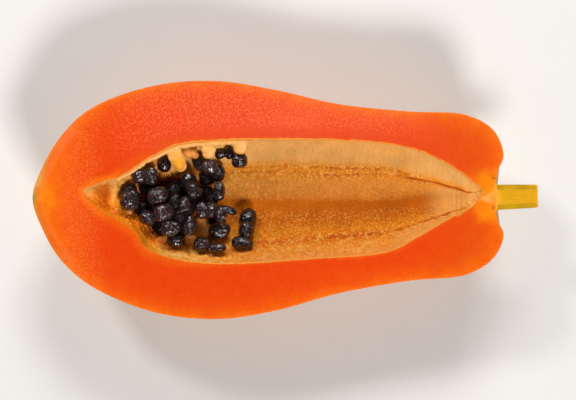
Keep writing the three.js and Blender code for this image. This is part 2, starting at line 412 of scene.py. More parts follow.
def seed_material():
    sockets = {"Specular IOR Level": 0.04, "Coat Roughness": 0.02, "Coat IOR": 1.6}
    look = Material("papaya_seeds", "tone", sockets)
    swirl = look.noise(1.7, detail=1.0, distortion=0.8)
    crease = look.levels(look.math("ABSOLUTE", look.math("SUBTRACT", swirl, 0.5)), 0.0, 0.09)
    fine = look.noise(1.0, detail=1.0)
    patch = look.levels(look.noise(3.4, detail=1.0), 0.45, 0.58)
    dome = look.levels(look.cells(1.5), 0.7, 0.0)
    gel = look.times(look.levels(crease, 0.6, 0.0), look.levels(fine, 0.4, 0.6))
    mottle = look.noise(1.5, roughness=0.7)
    look.tint(tone(11, 5, 12), look.levels(mottle, 0.54, 0.36, 0.8))
    look.tint(tone(108, 70, 60), look.levels(mottle, 0.52, 0.7, 0.16))
    look.tint(tone(100, 68, 62), look.times(gel, 0.14))
    look.bump(swirl, 0.35)
    look.bump(crease, 0.05)
    look.bump(look.times(dome, patch), 0.22)
    look.bump(look.times(fine, patch), 0.1)
    wet_coat = {"Coat Normal": look.normal, "Coat Weight": look.painted("tone", "Alpha")}
    look.set(look.shader, wet_coat)
    return look.finish(look.levels(fine, 0.3, 0.7, 0.6, 0.4))


def pulp_material():
    sockets = {"Specular IOR Level": 0.45, **light_inside(0.15, 1.0, (1.0, 0.5, 0.15))}
    look = Material("papaya_pulp", "tone", sockets)
    grain = look.noise(1.1, detail=3.0, roughness=0.6)
    look.tint(tone(255, 198, 110), look.levels(grain, 0.5, 0.75, 0.35))
    look.bump(grain, 0.15)
    return look.finish(look.levels(grain, 0.3, 0.7, 0.52, 0.34))


def stem_material():
    look = Material("papaya_stem", "tone", {"Specular IOR Level": 0.15, **light_inside(0.1, 1.5)})
    fibre = look.noise((6.0, 0.5, 0.5), detail=3.0, roughness=0.6)
    patch = look.noise((5.0, 2.0, 2.0))
    look.tint(tone(246, 192, 50), look.levels(fibre, 0.52, 0.75, 0.3))
    look.tint(tone(176, 134, 16), look.levels(patch, 0.55, 0.75, 0.25))
    look.bump(fibre, 0.12)
    return look.finish(look.levels(patch, 0.3, 0.7, 0.6, 0.45))


def floor_material():
    look = Material("pale_floor", tone(232, 230, 226), {"Specular IOR Level": 0.1})
    look.tint(tone(237, 235, 231), look.noise(60.0))
    return look.finish(0.85)


# ---- Making pieces ----


def new_mesh(name, vertices, faces):
    mesh = bpy.data.meshes.new(name)
    mesh.from_pydata((np.asarray(vertices) * MM).tolist(), [], faces)
    mesh.shade_smooth()
    return mesh


def new_object(name, data):
    made = bpy.data.objects.new(name, data)
    bpy.context.scene.collection.objects.link(made)
    return made


def closed(mesh, distance=WELD):
    """Welds vertices closer than `distance`, turns the faces outwards."""
    bm = bmesh.new()
    bm.from_mesh(mesh)
    bmesh.ops.remove_doubles(bm, verts=bm.verts, dist=distance * MM)
    bmesh.ops.recalc_face_normals(bm, faces=bm.faces)
    bm.to_mesh(mesh)
    bm.free()


def emptied(bm):
    """The points and faces of a bmesh, which is freed."""
    bm.verts.index_update()
    points = np.array([vertex.co for vertex in bm.verts])
    faces = [[vertex.index for vertex in face.verts] for face in bm.faces]
    bm.free()
    return points, faces


def vertex_values(mesh, key):
    flat = np.empty(len(mesh.vertices) * 3, np.float32)
    mesh.vertices.foreach_get(key, flat)
    return flat.reshape(-1, 3)


def mesh_points(mesh):
    return vertex_values(mesh, "co").astype(float) / MM


def paint(mesh, name, colours, extra=1.0):
    """Stores one linear colour for each vertex, with one more value as its alpha."""
    alpha = np.broadcast_to(extra, len(colours))[:, None]
    full = np.clip(np.concatenate([colours, alpha], axis=1), 0, 1)
    attribute = mesh.attributes.new(name, "FLOAT_COLOR", "POINT")
    attribute.data.foreach_set("color", full.astype(np.float32).ravel())


def add_piece(name, mesh, replaced=()):
    """Puts a mesh into the scene as a piece of the fruit."""
    piece = new_object(name, mesh)
    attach(piece, "root")
    if replaced:
        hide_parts(*replaced)
    return piece


# ---- Flesh and rind ----


def boundary_loop(bm):
    """The points round the only open edge of a mesh, in order."""
    edge = next(edge for edge in bm.edges if edge.is_boundary)
    start = vertex = edge.verts[0]
    loop = []
    while not loop or vertex is not start:
        loop.append(vertex.co)
        vertex = edge.other_vert(vertex)
        edge = next(other for other in vertex.link_edges if other.is_boundary and other is not edge)
    return np.array(loop)


def cut_skin():
    """The rind below the cut plane, as points and faces, and its outline on that plane."""
    along = even_places(FRUIT_STATIONS, SKIN_SPACING)
    grid = fruit_points(along, np.linspace(0, 2 * np.pi, SKIN_SIDES, endpoint=False))
    wave = lumps(grid, 16.0, seed=3) * 0.22 + lumps(grid, 5.0, seed=4) * 0.06
    below = ramp(CUT_Z - grid[..., 2], 0.5, 6.0)
    grid = grid - grid_normals(grid) * (wave * below)[..., None]
    bm = bmesh.new()
    corners = [bm.verts.new(point) for point in grid.reshape(-1, 3)]
    for face in grid_faces(len(along), SKIN_SIDES, wrap=True):
        bm.faces.new([corners[i] for i in face])
    bmesh.ops.remove_doubles(bm, verts=bm.verts, dist=WELD)
    everything = bm.verts[:] + bm.edges[:] + bm.faces[:]
    plane = {"plane_co": (0, 0, CUT_Z), "plane_no": (0, 0, 1)}
    bmesh.ops.bisect_plane(bm, geom=everything, dist=2 * WELD, clear_outer=True, **plane)
    outline = boundary_loop(bm)[:, :2]
    points, faces = emptied(bm)
    points[:, 2] = np.maximum(points[:, 2], 0)
    return points, faces, outline


def inside(points, loop):
    """Which points lie inside a closed outline."""
    x1, y1 = loop.T
    x2, y2 = np.roll(loop, -1, axis=0).T
    rise = np.where(y2 == y1, 1e-12, y2 - y1)
    result = []
    for part in np.array_split(points, max(1, len(points) // 2000)):
        x, y = part[:, :1], part[:, 1:]
        crosses = ((y1 > y) != (y2 > y)) & (x < x1 + (y - y1) * (x2 - x1) / rise)
        result.append(crosses.sum(axis=1) % 2 == 1)
    return np.concatenate(result)


def distances(points, loop):
    """How far each point is from a closed outline."""
    ends = np.roll(loop, -1, axis=0)
    samples = np.concatenate([lerp(loop, ends, share) for share in (0, 0.25, 0.5, 0.75)])
    tree = KDTree(len(samples))
    for i, (x, y) in enumerate(samples):
        tree.insert((x, y, 0), i)
    tree.balance()
    return np.array([tree.find((x, y, 0))[2] for x, y in points.tolist()])


def filled_ring(outline, hole, spacing):
    """Points and triangles of the flat surface between two outlines."""
    in_ring = lambda points: inside(points, outline) & ~inside(points, hole)
    random = np.random.RandomState(11)
    low, high = outline.min(axis=0), outline.max(axis=0)
    rows = np.arange(low[1], high[1], spacing * math.sqrt(3) / 2)
    x, y = np.meshgrid(np.arange(low[0], high[0], spacing), rows)
    x = x + (np.arange(len(rows)) % 2)[:, None] * spacing / 2
    scatter = np.stack([x, y], axis=-1).reshape(-1, 2)
    scatter = scatter + random.uniform(-FACE_JITTER, FACE_JITTER, scatter.shape) * spacing
    scatter = scatter[in_ring(scatter)]
    to_outlines = np.minimum(distances(scatter, outline), distances(scatter, hole))
    scatter = scatter[to_outlines > FACE_CLEARANCE * spacing]
    points = np.concatenate([outline, hole, scatter])
    edges = []
    for first, count in ((0, len(outline)), (len(outline), len(hole))):
        edges += [(first + i, first + (i + 1) % count) for i in range(count)]
    filled = delaunay_2d_cdt([Vector(p) for p in points.tolist()], edges, [], 0, 1e-6)
    corners = np.array([tuple(p) for p in filled[0]])
    triangles = np.array(filled[2])
    return corners, triangles[in_ring(corners[triangles].mean(axis=1))]


def cavity_wall():
    """The flesh behind the lining: its grid of points and the outline of its rim."""
    grid = cavity_points(even_places(CAVITY_STATIONS, WALL_SPACING), WALL_SIDES)
    rim = np.concatenate([grid[:, 0], grid[-2:0:-1, -1]])[:, :2]
    grid[..., 2] = np.minimum(grid[..., 2], CUT_Z - FACE_DROP)
    return grid, rim


SHARP_ANGLE = 0.6  # radians between faces whose edge stays sharp

FLESH = tone(231, 67, 2)
FLESH_EDGE = tone(252, 120, 10)
FLESH_RIM = tone(236, 96, 4)
FLESH_TIP = tone(243, 100, 12)
FLESH_LOBE = tone(226, 80, 4)
FLESH_PINK_AND_SHEEN = tone(236, 64, 4)
FLESH_PAINTED_SHEEN = tone(246, 104, 50)
NOTCH_GOLD = tone(252, 142, 0)
NOTCH_PALE = tone(255, 176, 88)
NOTCH_FOOT = tone(255, 168, 44)
NOTCH_MIDDLE = (83.5, 1.6)  # between the cavity's tip and the stem
NOTCH_DOTS = ((84.5, 9.0), (84.4, -3.1))
DOT_BROWN = tone(190, 96, 2)
TIP_SKIN = tone(240, 146, 26)
TIP_SKIN_HIGHLIGHT = tone(238, 174, 84)
TIP_GREEN = tone(156, 148, 8)
TIP_GOLD = tone(255, 140, 4)


def notch_tints(coat, x, y, flat):
    """The golden flesh round the stem's foot, with a pale wedge and two brown dots."""
    gap = from_spot(x, y, NOTCH_MIDDLE, (1.4, 1.0)) + 1.4 * lumps(flat, 4.0, seed=24)
    coat.tint(NOTCH_GOLD, ramp(gap, 13.0, 6.5) * ramp(x, 74, 80))
    from_wedge = x - 78.5
    off_line = abs(y - 0.4 - 0.1 * from_wedge) + 0.5 * lumps(flat, 1.6, seed=27)
    wedge = ramp(off_line - from_wedge * 0.42, 0.7, -0.5) * ramp(x, 78.0, 80.0)
    coat.tint(NOTCH_PALE, wedge * ramp(x, 87.5, 83.5))
    foot = ramp(x + 0.8 * lumps(flat, 1.2, seed=28), 82.0, 84.2)
    coat.tint(NOTCH_FOOT, bell(y - 1.3, 4.2) * foot)
    for dot in NOTCH_DOTS:
        coat.tint(DOT_BROWN, 0.85 * ramp(from_spot(x, y, dot, (1, 1)), 1.1, 0.4))


def tip_tints(coat, x, y, flat, from_rind):
    """The blossom tip's rounded shoulder: skin in a crescent with a painted highlight, a green streak
    and a golden patch.
    """
    wide = 3.2 * bell(y - 2.5, 13.0) * ramp(x, -82, -90) + 0.5 * lumps(flat, 3.0, seed=25)
    skin = ramp(from_rind - wide, 0.7, -0.9)
    coat.tint(FLESH_EDGE, 0.8 * ramp(from_rind - wide, 7.0, 0.5) * ramp(x, -80, -92))
    coat.tint(TIP_SKIN, skin * lerp(0.5, 1.0, ramp(y, -10, 2)))
    # a grey-tan patch on the skin: painted highlight
    coat.tint(TIP_SKIN_HIGHLIGHT, skin * bell(y - 6.5, 3.4) * ramp(from_rind, 2.6, 1.2))
    gold = bell(from_spot(x, y, (-96.4, 1.0), (4.6, 5.0)) + 0.25 * lumps(flat, 2.0, seed=26), 1)
    coat.tint(TIP_GOLD, gold * ramp(from_rind, 0.8, 2.2))
    coat.tint(TIP_GREEN, bell(y - 0.9, 2.2) * ramp(from_rind, 1.7, 0.6) * ramp(x, -96, -99))
    return skin


def flesh_tones(points, outline, rim):
    """The cut face's colours: paler at the rind and the cavity's rim, golden by the stem. Also where
    the far side's painted sheen and glints go, and how dry each place is."""
    x, y = points[:, 0], points[:, 1]
    flat = points * (1, 1, 0)
    from_rind = distances(points[:, :2], outline)
    from_rim = distances(points[:, :2], rim) + 0.5 * lumps(flat, 3.0, seed=22)
    cloud = lumps(flat, 14.0, seed=23, octaves=3)
    soft = from_rind + 1.2 * lumps(flat, 7.0, seed=21)
    coat = Coat(points, FLESH)
    # The far side is pinker, partly the flesh's own pink and partly painted sheen.
    sheen_zone = ramp(y, 14, 26) * ramp(x, -84, -50) * ramp(x, 66, 40) * ramp(from_rim, 1.0, 8.0)
    coat.tint(FLESH_PINK_AND_SHEEN, sheen_zone * (0.75 + 0.8 * cloud))
    # A painted highlight round the sheen's brightest spot, where the sheen lamp reflects.
    sheen = bell(from_spot(x, y, (2.0, 31.0), (13.0, 4.0)) + 0.6 * cloud, 1)
    coat.tint(FLESH_PAINTED_SHEEN, 0.5 * sheen * sheen_zone)
    coat.tint(FLESH_TIP, ramp(x, -70, -92))
    coat.tint(FLESH_LOBE, ramp(x, 50, 78) * 0.9)
    halo = lerp(0.7, 2.4, ramp(x, -20, -50))
    rim_share = 0.9 * lerp(1.0, 0.6, ramp(y, 8, 14))
    coat.tint(FLESH_RIM, rim_share * ramp(from_rim, 1.8 * halo, 0.4 * halo))
    glow = ramp(x, -64, -72) * ramp(y, -9, -2) * ramp(from_rim, 2.8, 0.6)
    coat.tint(FLESH_EDGE, 0.9 * glow)
    edge_width = lerp(3.2, 5.0, ramp(x, 60, 84))
    coat.tint(FLESH_EDGE, 0.95 * np.exp(-np.maximum(soft, 0) / edge_width))
    notch_tints(coat, x, y, flat)
    skin = tip_tints(coat, x, y, flat, from_rind)
    # The painted glints reach the blossom tip too.
    sheen_zone = np.maximum(sheen_zone, 0.6 * ramp(x, -70, -80) * ramp(x, -92, -86))
    shoulder = ramp(from_rind, 5.5, 2.5) * ramp(x, -80, -88)
    return coat.colours, sheen_zone, np.maximum(skin, shoulder)


RIND_YELLOW = tone(240, 156, 34)
RIND_ORANGE = tone(244, 128, 20)
RIND_GREEN = tone(142, 138, 40)
RIND_TIP = tone(206, 160, 84)
RIND_SCAR = tone(128, 84, 40)


def rind_tones(points):
    """Ripe yellow-orange, with a green blush by the stem and the blossom tip's tan scar."""
    cloud = lumps(points, 26.0, seed=31, octaves=3)
    streak = lumps(points, (40.0, 6.0, 6.0), seed=32, octaves=2)
    coat = Coat(points, RIND_YELLOW)
    coat.tint(RIND_ORANGE, 0.5 + 0.9 * cloud)
    coat.tint(RIND_GREEN, ramp(points[:, 0] + 14 * streak, 62, 96) * 0.5)
    coat.tint(RIND_GREEN, 0.35 * ramp(streak, 0.15, 0.6))
    tip_x, tip_y = FRUIT_STATIONS[0][:2]
    from_tip = np.linalg.norm(points - (tip_x, tip_y, CUT_Z - TIP_SINK), axis=1)
    coat.tint(RIND_TIP, ramp(from_tip + 4 * streak, 26, 6) * 0.8)
    coat.tint(RIND_GREEN, bell(from_tip - 5.5, 3.0) * (0.5 + streak))
    coat.tint(RIND_SCAR, ramp(from_tip + streak, 3.0, 1.2))
    return coat.colours


def shoulder(points):
    """How far the cut's edge is bent down."""
    return TIP_ROUNDING * ramp(points[:, 0], *TIP_ROUNDING_X)


def cut_face(outline, rim):
    """Points and triangles of the cut flesh, which dips and bends down to the rind at the tip."""
    corners, triangles = filled_ring(outline, rim, FACE_SPACING)
    flat = np.concatenate([corners, np.zeros((len(corners), 1))], axis=1)
    to_edge = distances(corners, outline)
    relief = lumps(flat, 1.1, seed=41) + 0.8 * lumps(flat, 3.0, seed=42)
    inner = ramp(np.minimum(to_edge, distances(corners, rim)), 0, 0.8)
    flat[:, 2] = CUT_Z - FACE_DROP * ramp(to_edge, 0, 0.5) + FACE_RELIEF * relief * inner
    fall = lambda away: 1 - ramp(away, -0.5, 3.6)
    flat[:, 2] -= shoulder(flat) * fall(to_edge) / fall(0)
    return flat, triangles


def sharpen(mesh):
    """Keeps the edges sharp between two materials and between faces at an angle."""
    bm = bmesh.new()
    bm.from_mesh(mesh)
    for edge in bm.edges:
        one_look = len({face.material_index for face in edge.link_faces}) == 1
        edge.smooth = one_look and edge.calc_face_angle(0) < SHARP_ANGLE
    bm.to_mesh(mesh)
    bm.free()


def papaya_body():
    """Flesh and rind: the skin, the cut face and the wall behind the lining, welded together."""
    skin, skin_faces, outline = cut_skin()
    wall, rim = cavity_wall()
    flat, triangles = cut_face(outline, rim)
    skin[:, 2] -= shoulder(skin) * bell(CUT_Z - skin[:, 2], TIP_ROUNDING_DEPTH)
    faces = list(skin_faces)
    faces += (triangles + len(skin)).tolist()
    faces += (np.array(grid_faces(*wall.shape[:2])) + len(skin) + len(flat)).tolist()
    mesh = new_mesh("papaya_body", np.concatenate([skin, flat, wall.reshape(-1, 3)]), faces)
    for maker in (rind_material, flesh_material):
        mesh.materials.append(maker())
    index = np.ones(len(faces), np.int32)
    index[: len(skin_faces)] = 0
    mesh.polygons.foreach_set("material_index", index)
    closed(mesh, 2 * WELD)
    sharpen(mesh)
    places = mesh_points(mesh)
    colours, sheen_zone, dry = flesh_tones(places, outline, rim)
    paint(mesh, "tone", colours, sheen_zone)
    paint(mesh, "rind", rind_tones(places), dry)
    add_piece("papaya_body", mesh, ["flesh"])


# ---- The cavity's lining ----

# Lines that run along the wall, as they look from above: two rows of torn seed stalks high on the
# far wall, the smooth valley's two sides, and one row low on the near wall.
FAR_ROW = [
    (-81.5, 4.1), (-60, 9.0), (-40, 12.5), (-18, 13.4), (2.2, 13.8), (14.3, 13.2), (32.5, 12.8),
    (40.6, 12.3), (47.5, 11.4), (51.7, 9.3), (58.7, 8.2), (66.8, 6.0), (75.0, 3.3), (80, 3.9),
]
SECOND_ROW = [
    (-81.5, 3.9), (-60, 7.0), (-40, 10.3), (-15.9, 11.3), (-9.1, 11.7), (6.3, 10.9), (18.4, 10.3),
    (40.6, 10.5), (51.7, 9.0), (58.7, 7.9), (66.8, 5.7), (75.0, 3.0), (80, 3.7),
]
VALLEY_FAR = [
    (-81.5, 3.8), (-60, 2.0), (-22, 0.6), (6, 0.0), (46, 0.0), (55, 0.5), (75, 1.8), (80, 3.6),
]
VALLEY_NEAR = [
    (-81.5, 3.7), (-60, -1.5), (-22, -3.2), (6, -4.4), (38, -4.0), (50, -3.2), (75, 0.8), (80, 3.5),
]
NEAR_ROW = [
    (-81.5, 3.6), (-60, -9.5), (-40, -17.5), (-11.9, -18.1), (6.3, -16.1), (22.4, -14.9),
    (38.5, -13.7), (46.6, -12.1), (56.7, -8.8), (62.7, -6.8), (74.8, -2.8), (80, 3.4),
]
ROWS = ((FAR_ROW, 0.4, 1.5), (SECOND_ROW, 0.4, 1.7), (NEAR_ROW, 0.5, 1.9))  # groove, stain widths


def rim_curve(column):
    """x and y of many places along the cavity's far or near rim."""
    return column_curve(CAVITY_STATIONS, column, np.linspace(0, 1, 2001))


def across_wall(x, y):
    """0 at the far rim, 1 and 2 at the far rows, 3 and 4 at the valley's sides, 5 at the near row
    and 6 at the near rim, for places as they look from above."""
    lines = (rim_curve(FAR), FAR_ROW, SECOND_ROW, VALLEY_FAR, VALLEY_NEAR, NEAR_ROW, rim_curve(NEAR))
    heights = [traced(line, x) for line in lines]
    zones = zip(heights[:-1], heights[1:])
    return sum(np.clip((high - y) / np.maximum(high - low, 0.05), 0, 1) for high, low in zones)


# the lining's colours across the wall, before its tints: lighter near the rims and darker in the
# valley, partly the lining's own colour and partly painted light and shade
LINING_STOPS = [
    (0.0, tone(255, 196, 112)),
    (0.15, tone(246, 186, 104)),
    (0.7, tone(240, 178, 100)),
    (1.0, tone(248, 160, 44)),
    (2.0, tone(228, 144, 40)),
    (2.4, tone(212, 138, 54)),
    (2.8, tone(200, 122, 42)),
    (3.1, tone(188, 96, 10)),
    (3.8, tone(190, 96, 6)),
    (4.2, tone(184, 90, 2)),
    (4.5, tone(198, 106, 6)),
    (4.8, tone(226, 136, 20)),
    (5.2, tone(228, 142, 38)),
    (5.7, tone(222, 140, 56)),
    (6.0, tone(238, 158, 76)),
]
GRAIN_ZONES = [
    (0, 0.15), (0.4, 0.25), (0.8, 0.4), (1.0, 0.9), (2.0, 0.9), (2.4, 0.5), (2.95, 0.4),
    (3.1, 0.05), (3.85, 0.1), (4.15, 0.9), (5, 1.0), (5.5, 0.8), (6, 0.4),
]
FIBRE_ZONES = [(0, 0), (0.2, 1), (2.9, 1), (3.1, 0)]
WALL_SHADE = [(-60, 0.92), (-30, 1.1), (-18, 1.1), (-4, 0.96), (22, 1.0), (60, 1.12)]  # by x
STALK_STAIN = tone(206, 104, 12)
# painted shade in the grooves and under the folds
GROOVE_SHADE = tone(190, 74, 0)
NEAR_STAIN = tone(204, 94, 0)
STALK_PALE = tone(255, 190, 92)
STALK_RED = tone(186, 66, 0)
STEM_END_PEACH = tone(240, 171, 88)
END_PEACH = tone(255, 184, 96)
GEL_ORANGE = tone(255, 150, 22)
GEL_DARK = tone(240, 98, 0)
LEFT_TAN = tone(255, 180, 88)
NEAR_BRIGHT = tone(255, 164, 54)
NEAR_PEACH = tone(255, 182, 84)
CRUMB_PALE = tone(255, 206, 126)
CRUMB_BROWN = tone(216, 98, 8)
POCKET_BROWN = tone(226, 116, 8)
POCKET_DARK = tone(190, 78, 0)
RIM_PALE = tone(246, 176, 96)
BAND_ORANGE = tone(255, 148, 30)
RIM_EDGE = tone(240, 148, 58)
RIM_ORANGE = tone(252, 138, 24)
HEAP_RED_BROWN = tone(190, 62, 0)

RIDGE_X = -68.6  # a low ridge crosses the wall here, with a pocket behind it
HEAP_MIDDLE = (-47.0, -1.0)
HEAP_HALF = (15.5, 12.5)


class Wall(Coat):
    """The lining as it is built up: its colours, how far it stands out and how granular it is.
    `base` holds its smooth points, x and y say where they look to be from above."""

    def __init__(self, base):
        self.base = base
        self.x, self.y = np.moveaxis(seen(base), -1, 0)
        self.v = across_wall(self.x, self.y)
        self.grain = grains(base, 1.15, seed=1)
        self.coarse = grains(base, 1.7, seed=2)
        self.soft = lumps(base, 6.0, seed=51)
        self.wobble = 0.5 * lumps(base, 7.0, seed=52) + 0.35 * lumps(base, 2.0, seed=53)
        self.stem_end = ramp(self.x, 50, 64)
        self.left = ramp(self.x, -36, -46)
        self.lay_ground(lumps(base, (0.9, 7.0, 7.0), seed=54))

    def lay_ground(self, fibre):
        """Zones of grain, and colours from rim to rim."""
        v, soft = self.v, self.soft
        smooth_end = 1 - 0.85 * self.stem_end * ramp(v, 5.0, 4.6)
        self.granular = traced(GRAIN_ZONES, v) * smooth_end * (1 - 0.2 * ramp(self.x, -50, -60))
        grain = self.grain - 0.3 + (self.coarse - 0.3) * ramp(v, 3.9, 4.3)
        self.height = 0.3 * grain * self.granular + 0.05 * fibre * traced(FIBRE_ZONES, v) + 0.12 * soft
        stops, stop_colours = zip(*LINING_STOPS)
        at = v + 0.12 * self.wobble
        channels = [np.interp(at, stops, channel) for channel in np.transpose(stop_colours)]
        shade = lerp(traced(WALL_SHADE, self.x), 1.0, ramp(v, 2.6, 3.2))
        shade = shade * (1 + 0.14 * soft + 0.07 * fibre)
        self.colours = np.stack(channels, axis=-1) * shade[..., None]

    def off(self, line, share=1.0):
        """How far a place is beyond a line that strays by a share of the wobble."""
        return self.y - traced(line, self.x) - share * self.wobble


def torn_rows(wall):
    """Rows of torn stalks: stained bands, a broken groove darkened with painted shade, and pale stubs.
    """
    base, x = wall.base, wall.x
    broken = ramp(lumps(base, (2.6, 30, 30), seed=55), -0.3, 0.1)
    patchy = np.clip(0.7 + 0.9 * lumps(base, (5.0, 2.5, 2.5), seed=56), 0, 1)
    stub = ramp(wall.coarse + 0.35 * lumps(base, 0.8, seed=58), 0.4, 0.62)
    clump = ramp(lumps(base, (1.8, 3.0, 3.0), seed=74), 0.25, 0.42)
    dashes = ramp(lumps(base, (7.0, 30, 30), seed=71), 0.0, 0.25) * ramp(x, 14, 26)
    wall.tint(STALK_RED, 0.8 * dashes * bell(wall.off(NEAR_ROW), 0.9))
    groove, stubs, stain = (np.zeros_like(x) for _ in range(3))
    for line, width, spread in ROWS:
        off = wall.off(line)
        kept = 1 - wall.stem_end * (line is FAR_ROW)
        bare = 0.3 if line is NEAR_ROW else 0.9
        beside = bell(off + 0.9, 0.8) + bell(off - 0.9, 0.8) + 0.5 * bell(off, 2.8)
        groove = np.maximum(groove, bell(off, width) * (0.35 + 0.65 * broken) * kept)
        stain = np.maximum(stain, bell(off, spread) * patchy * kept)
        stubs = np.maximum(stubs, beside * stub * patchy * (1 - bare * wall.stem_end))
        stubs = np.maximum(stubs, clump * bell(off - 0.3, 1.2) * (1 - wall.stem_end))
    stubs = np.clip(stubs, 0, 1)
    wall.height += 0.55 * stubs - 0.45 * groove
    near_stain = bell(wall.off(NEAR_ROW, 0) - 0.4, 2.1) * ramp(x, 44, 32) * ramp(x, -22, -12)
    wall.tint(STALK_STAIN, 0.6 * stain)
    wall.tint(NEAR_STAIN, 0.8 * near_stain * (1 + 0.5 * wall.soft))
    wall.tint(STALK_PALE, 0.8 * stubs)
    # painted shade in the grooves
    wall.tint(GROOVE_SHADE, 0.5 * groove)
    wall.tint(STALK_PALE, 0.45 * ramp(wall.grain, 0.5, 0.8) * wall.granular)


def stem_fold(wall):
    """The stem's end: the smooth far band and a near lip stand over the lumps between them."""
    x, y, v = wall.x, wall.y, wall.v
    over, under = wall.off(SECOND_ROW, 0.12), wall.off(NEAR_ROW, 0.2)
    fold = ramp(x, 45, 53) * ramp(x, 75, 72)
    lip = ramp(x, 40, 50) * ramp(x, 74, 68)
    crest = ramp(over, -0.15, 0.35) * ramp(v, 0.0, 0.4)
    wall.height += fold * (0.6 * crest - 0.2 * bell(over + 0.5, 0.5))
    wall.height += 0.6 * lip * ramp(-under, -0.15, 0.35) * ramp(v, 6.0, 5.7)
    wall.tint(STALK_STAIN, 0.8 * ramp(x, 42, 56) * ramp(v, 2.6, 3.1) * ramp(v, 4.4, 3.9))
    smooth_end = ramp(x, 54, 66) * ramp(v, 2.05, 2.4) * ramp(v, 5.0, 4.7)
    stripes = 0.25 * np.cos(2 * np.pi * x / 1.9) * ramp(x, 66, 70)
    wall.tint(STEM_END_PEACH, smooth_end * (0.9 + stripes))
    # painted shadow under the far band's fold and the near lip
    fold_shadow = np.maximum(fold * bell(over + 0.4, 0.36), 0.6 * lip * bell(under - 0.25, 0.36))
    wall.tint(GROOVE_SHADE, 0.75 * fold_shadow)
    wall.tint(RIM_PALE, 0.7 * lip * ramp(-under, 0.1, 0.7) * (0.4 + wall.grain))
    # the stem end's tip painted peach: partly its own colour, partly painted light where its steep
    # wall is shaded
    wall.tint(END_PEACH, ramp(x, 71.5, 75.5))
    # a painted dark spot of shade where the fold ends
    wall.tint(GROOVE_SHADE, 0.8 * ramp(from_spot(x, y, (74.4, 3.1), (1.2, 0.5)), 1.3, 0.5))
    smear = from_spot(x, y, (45.4, 19.6), (2.4, 1.0)) + 0.8 * lumps(wall.base, 1.2, seed=60)
    wall.tint(STALK_PALE, 0.7 * ramp(smear, 1.2, 0.5))


def crumbly_sides(wall):
    """Strands and crumbs: on the far wall above the heap, and on the near wall below it, whose
    brightness is partly painted light.
    """
    base, x, v, soft, coarse = wall.base, wall.x, wall.v, wall.soft, wall.coarse
    # paler tan on the far wall beside the heap: partly its own tan, partly painted light where the
    # seeds shade it
    wall.tint(LEFT_TAN, wall.left * ramp(v, 3.4, 2.6) * (0.7 + 0.5 * coarse))
    # the near wall painted bright: partly its own orange, partly painted light where the seeds shade
    # it
    bright = ramp(x, -8, -26) * ramp(x, -61, -55) * ramp(v + 0.4 * soft, 4.7, 5.2)
    wall.tint(NEAR_BRIGHT, bright * (0.8 + 0.3 * coarse))
    wall.granular *= 1 - 0.6 * bright
    strands = lumps(base, (1.1, 2.2, 2.2), seed=72) + 0.5 * lumps(base, 0.8, seed=73)
    stranded = ramp(x, 8, -8) * bell(v - 2.1, 0.9)
    wall.tint(STALK_PALE, 0.4 * stranded * ramp(strands, 0.1, 0.5))
    wall.tint(STALK_STAIN, 0.45 * stranded * ramp(strands, -0.05, -0.5))
    wall.height += 0.15 * stranded * strands
    # the near wall's peach: partly its own colour, partly painted light where the seeds shade it
    peach = ramp(x, -51, -46) * ramp(x, -24, -36) * ramp(v + 0.3 * soft, 5.0, 5.3)
    wall.tint(NEAR_PEACH, peach * (0.6 + 0.5 * coarse))
    brown = bell(x + 22.0, 10.0) * bell(v - 5.35, 0.35)
    wall.tint(CRUMB_BROWN, 0.7 * brown * (0.8 + 0.8 * soft))
    crumbs = lumps(base, 1.7, seed=68) + 0.5 * lumps(base, 0.9, seed=69)
    near_band = 0.5 * ramp(v, 5.05, 5.35) * ramp(x, 46, 30)
    crumbly = np.maximum(np.maximum(wall.left * ramp(v, 3.2, 2.6), bright), near_band)
    wall.tint(CRUMB_PALE, 0.6 * crumbly * ramp(crumbs, 0.1, 0.45))
    wall.tint(CRUMB_BROWN, 0.5 * crumbly * ramp(crumbs, -0.1, -0.5))
    wall.height += 0.25 * crumbly * crumbs * lerp(1.0, 0.3, ramp(x, -49, -57))


def heap_gel(wall):
    """Orange gel with pale lumps on the valley under the heap, and a band near the blossom end."""
    x, v, soft = wall.x, wall.v, wall.soft
    limit = lerp(5.7, 6.8, ramp(x, -51, -57))
    gel = wall.left * ramp(v, 2.8, 3.6) * ramp(v + 0.5 * soft, limit, limit - 0.5)
    bright = np.clip(0.5 + 1.4 * soft + 0.5 * wall.grain, 0, 1)
    wall.tint(lerp(GEL_DARK, GEL_ORANGE, bright[..., None]), 0.9 * gel)
    pale_spot = ramp(wall.coarse + 0.4 * lumps(wall.base, 4.0, seed=59), 0.5, 0.7)
    wall.tint(STALK_PALE, 0.8 * gel * pale_spot)
    band = ramp(x, -49, -57) * ramp(v + 0.3 * soft, 4.6, 5.4)
    wall.tint(BAND_ORANGE, 0.8 * band)
    wall.granular *= 1 - 0.75 * band
    wall.tint(GEL_DARK, bell(x + 60.3, 2.2) * bell(v - 5.2, 0.5) * (0.7 + 0.4 * soft))


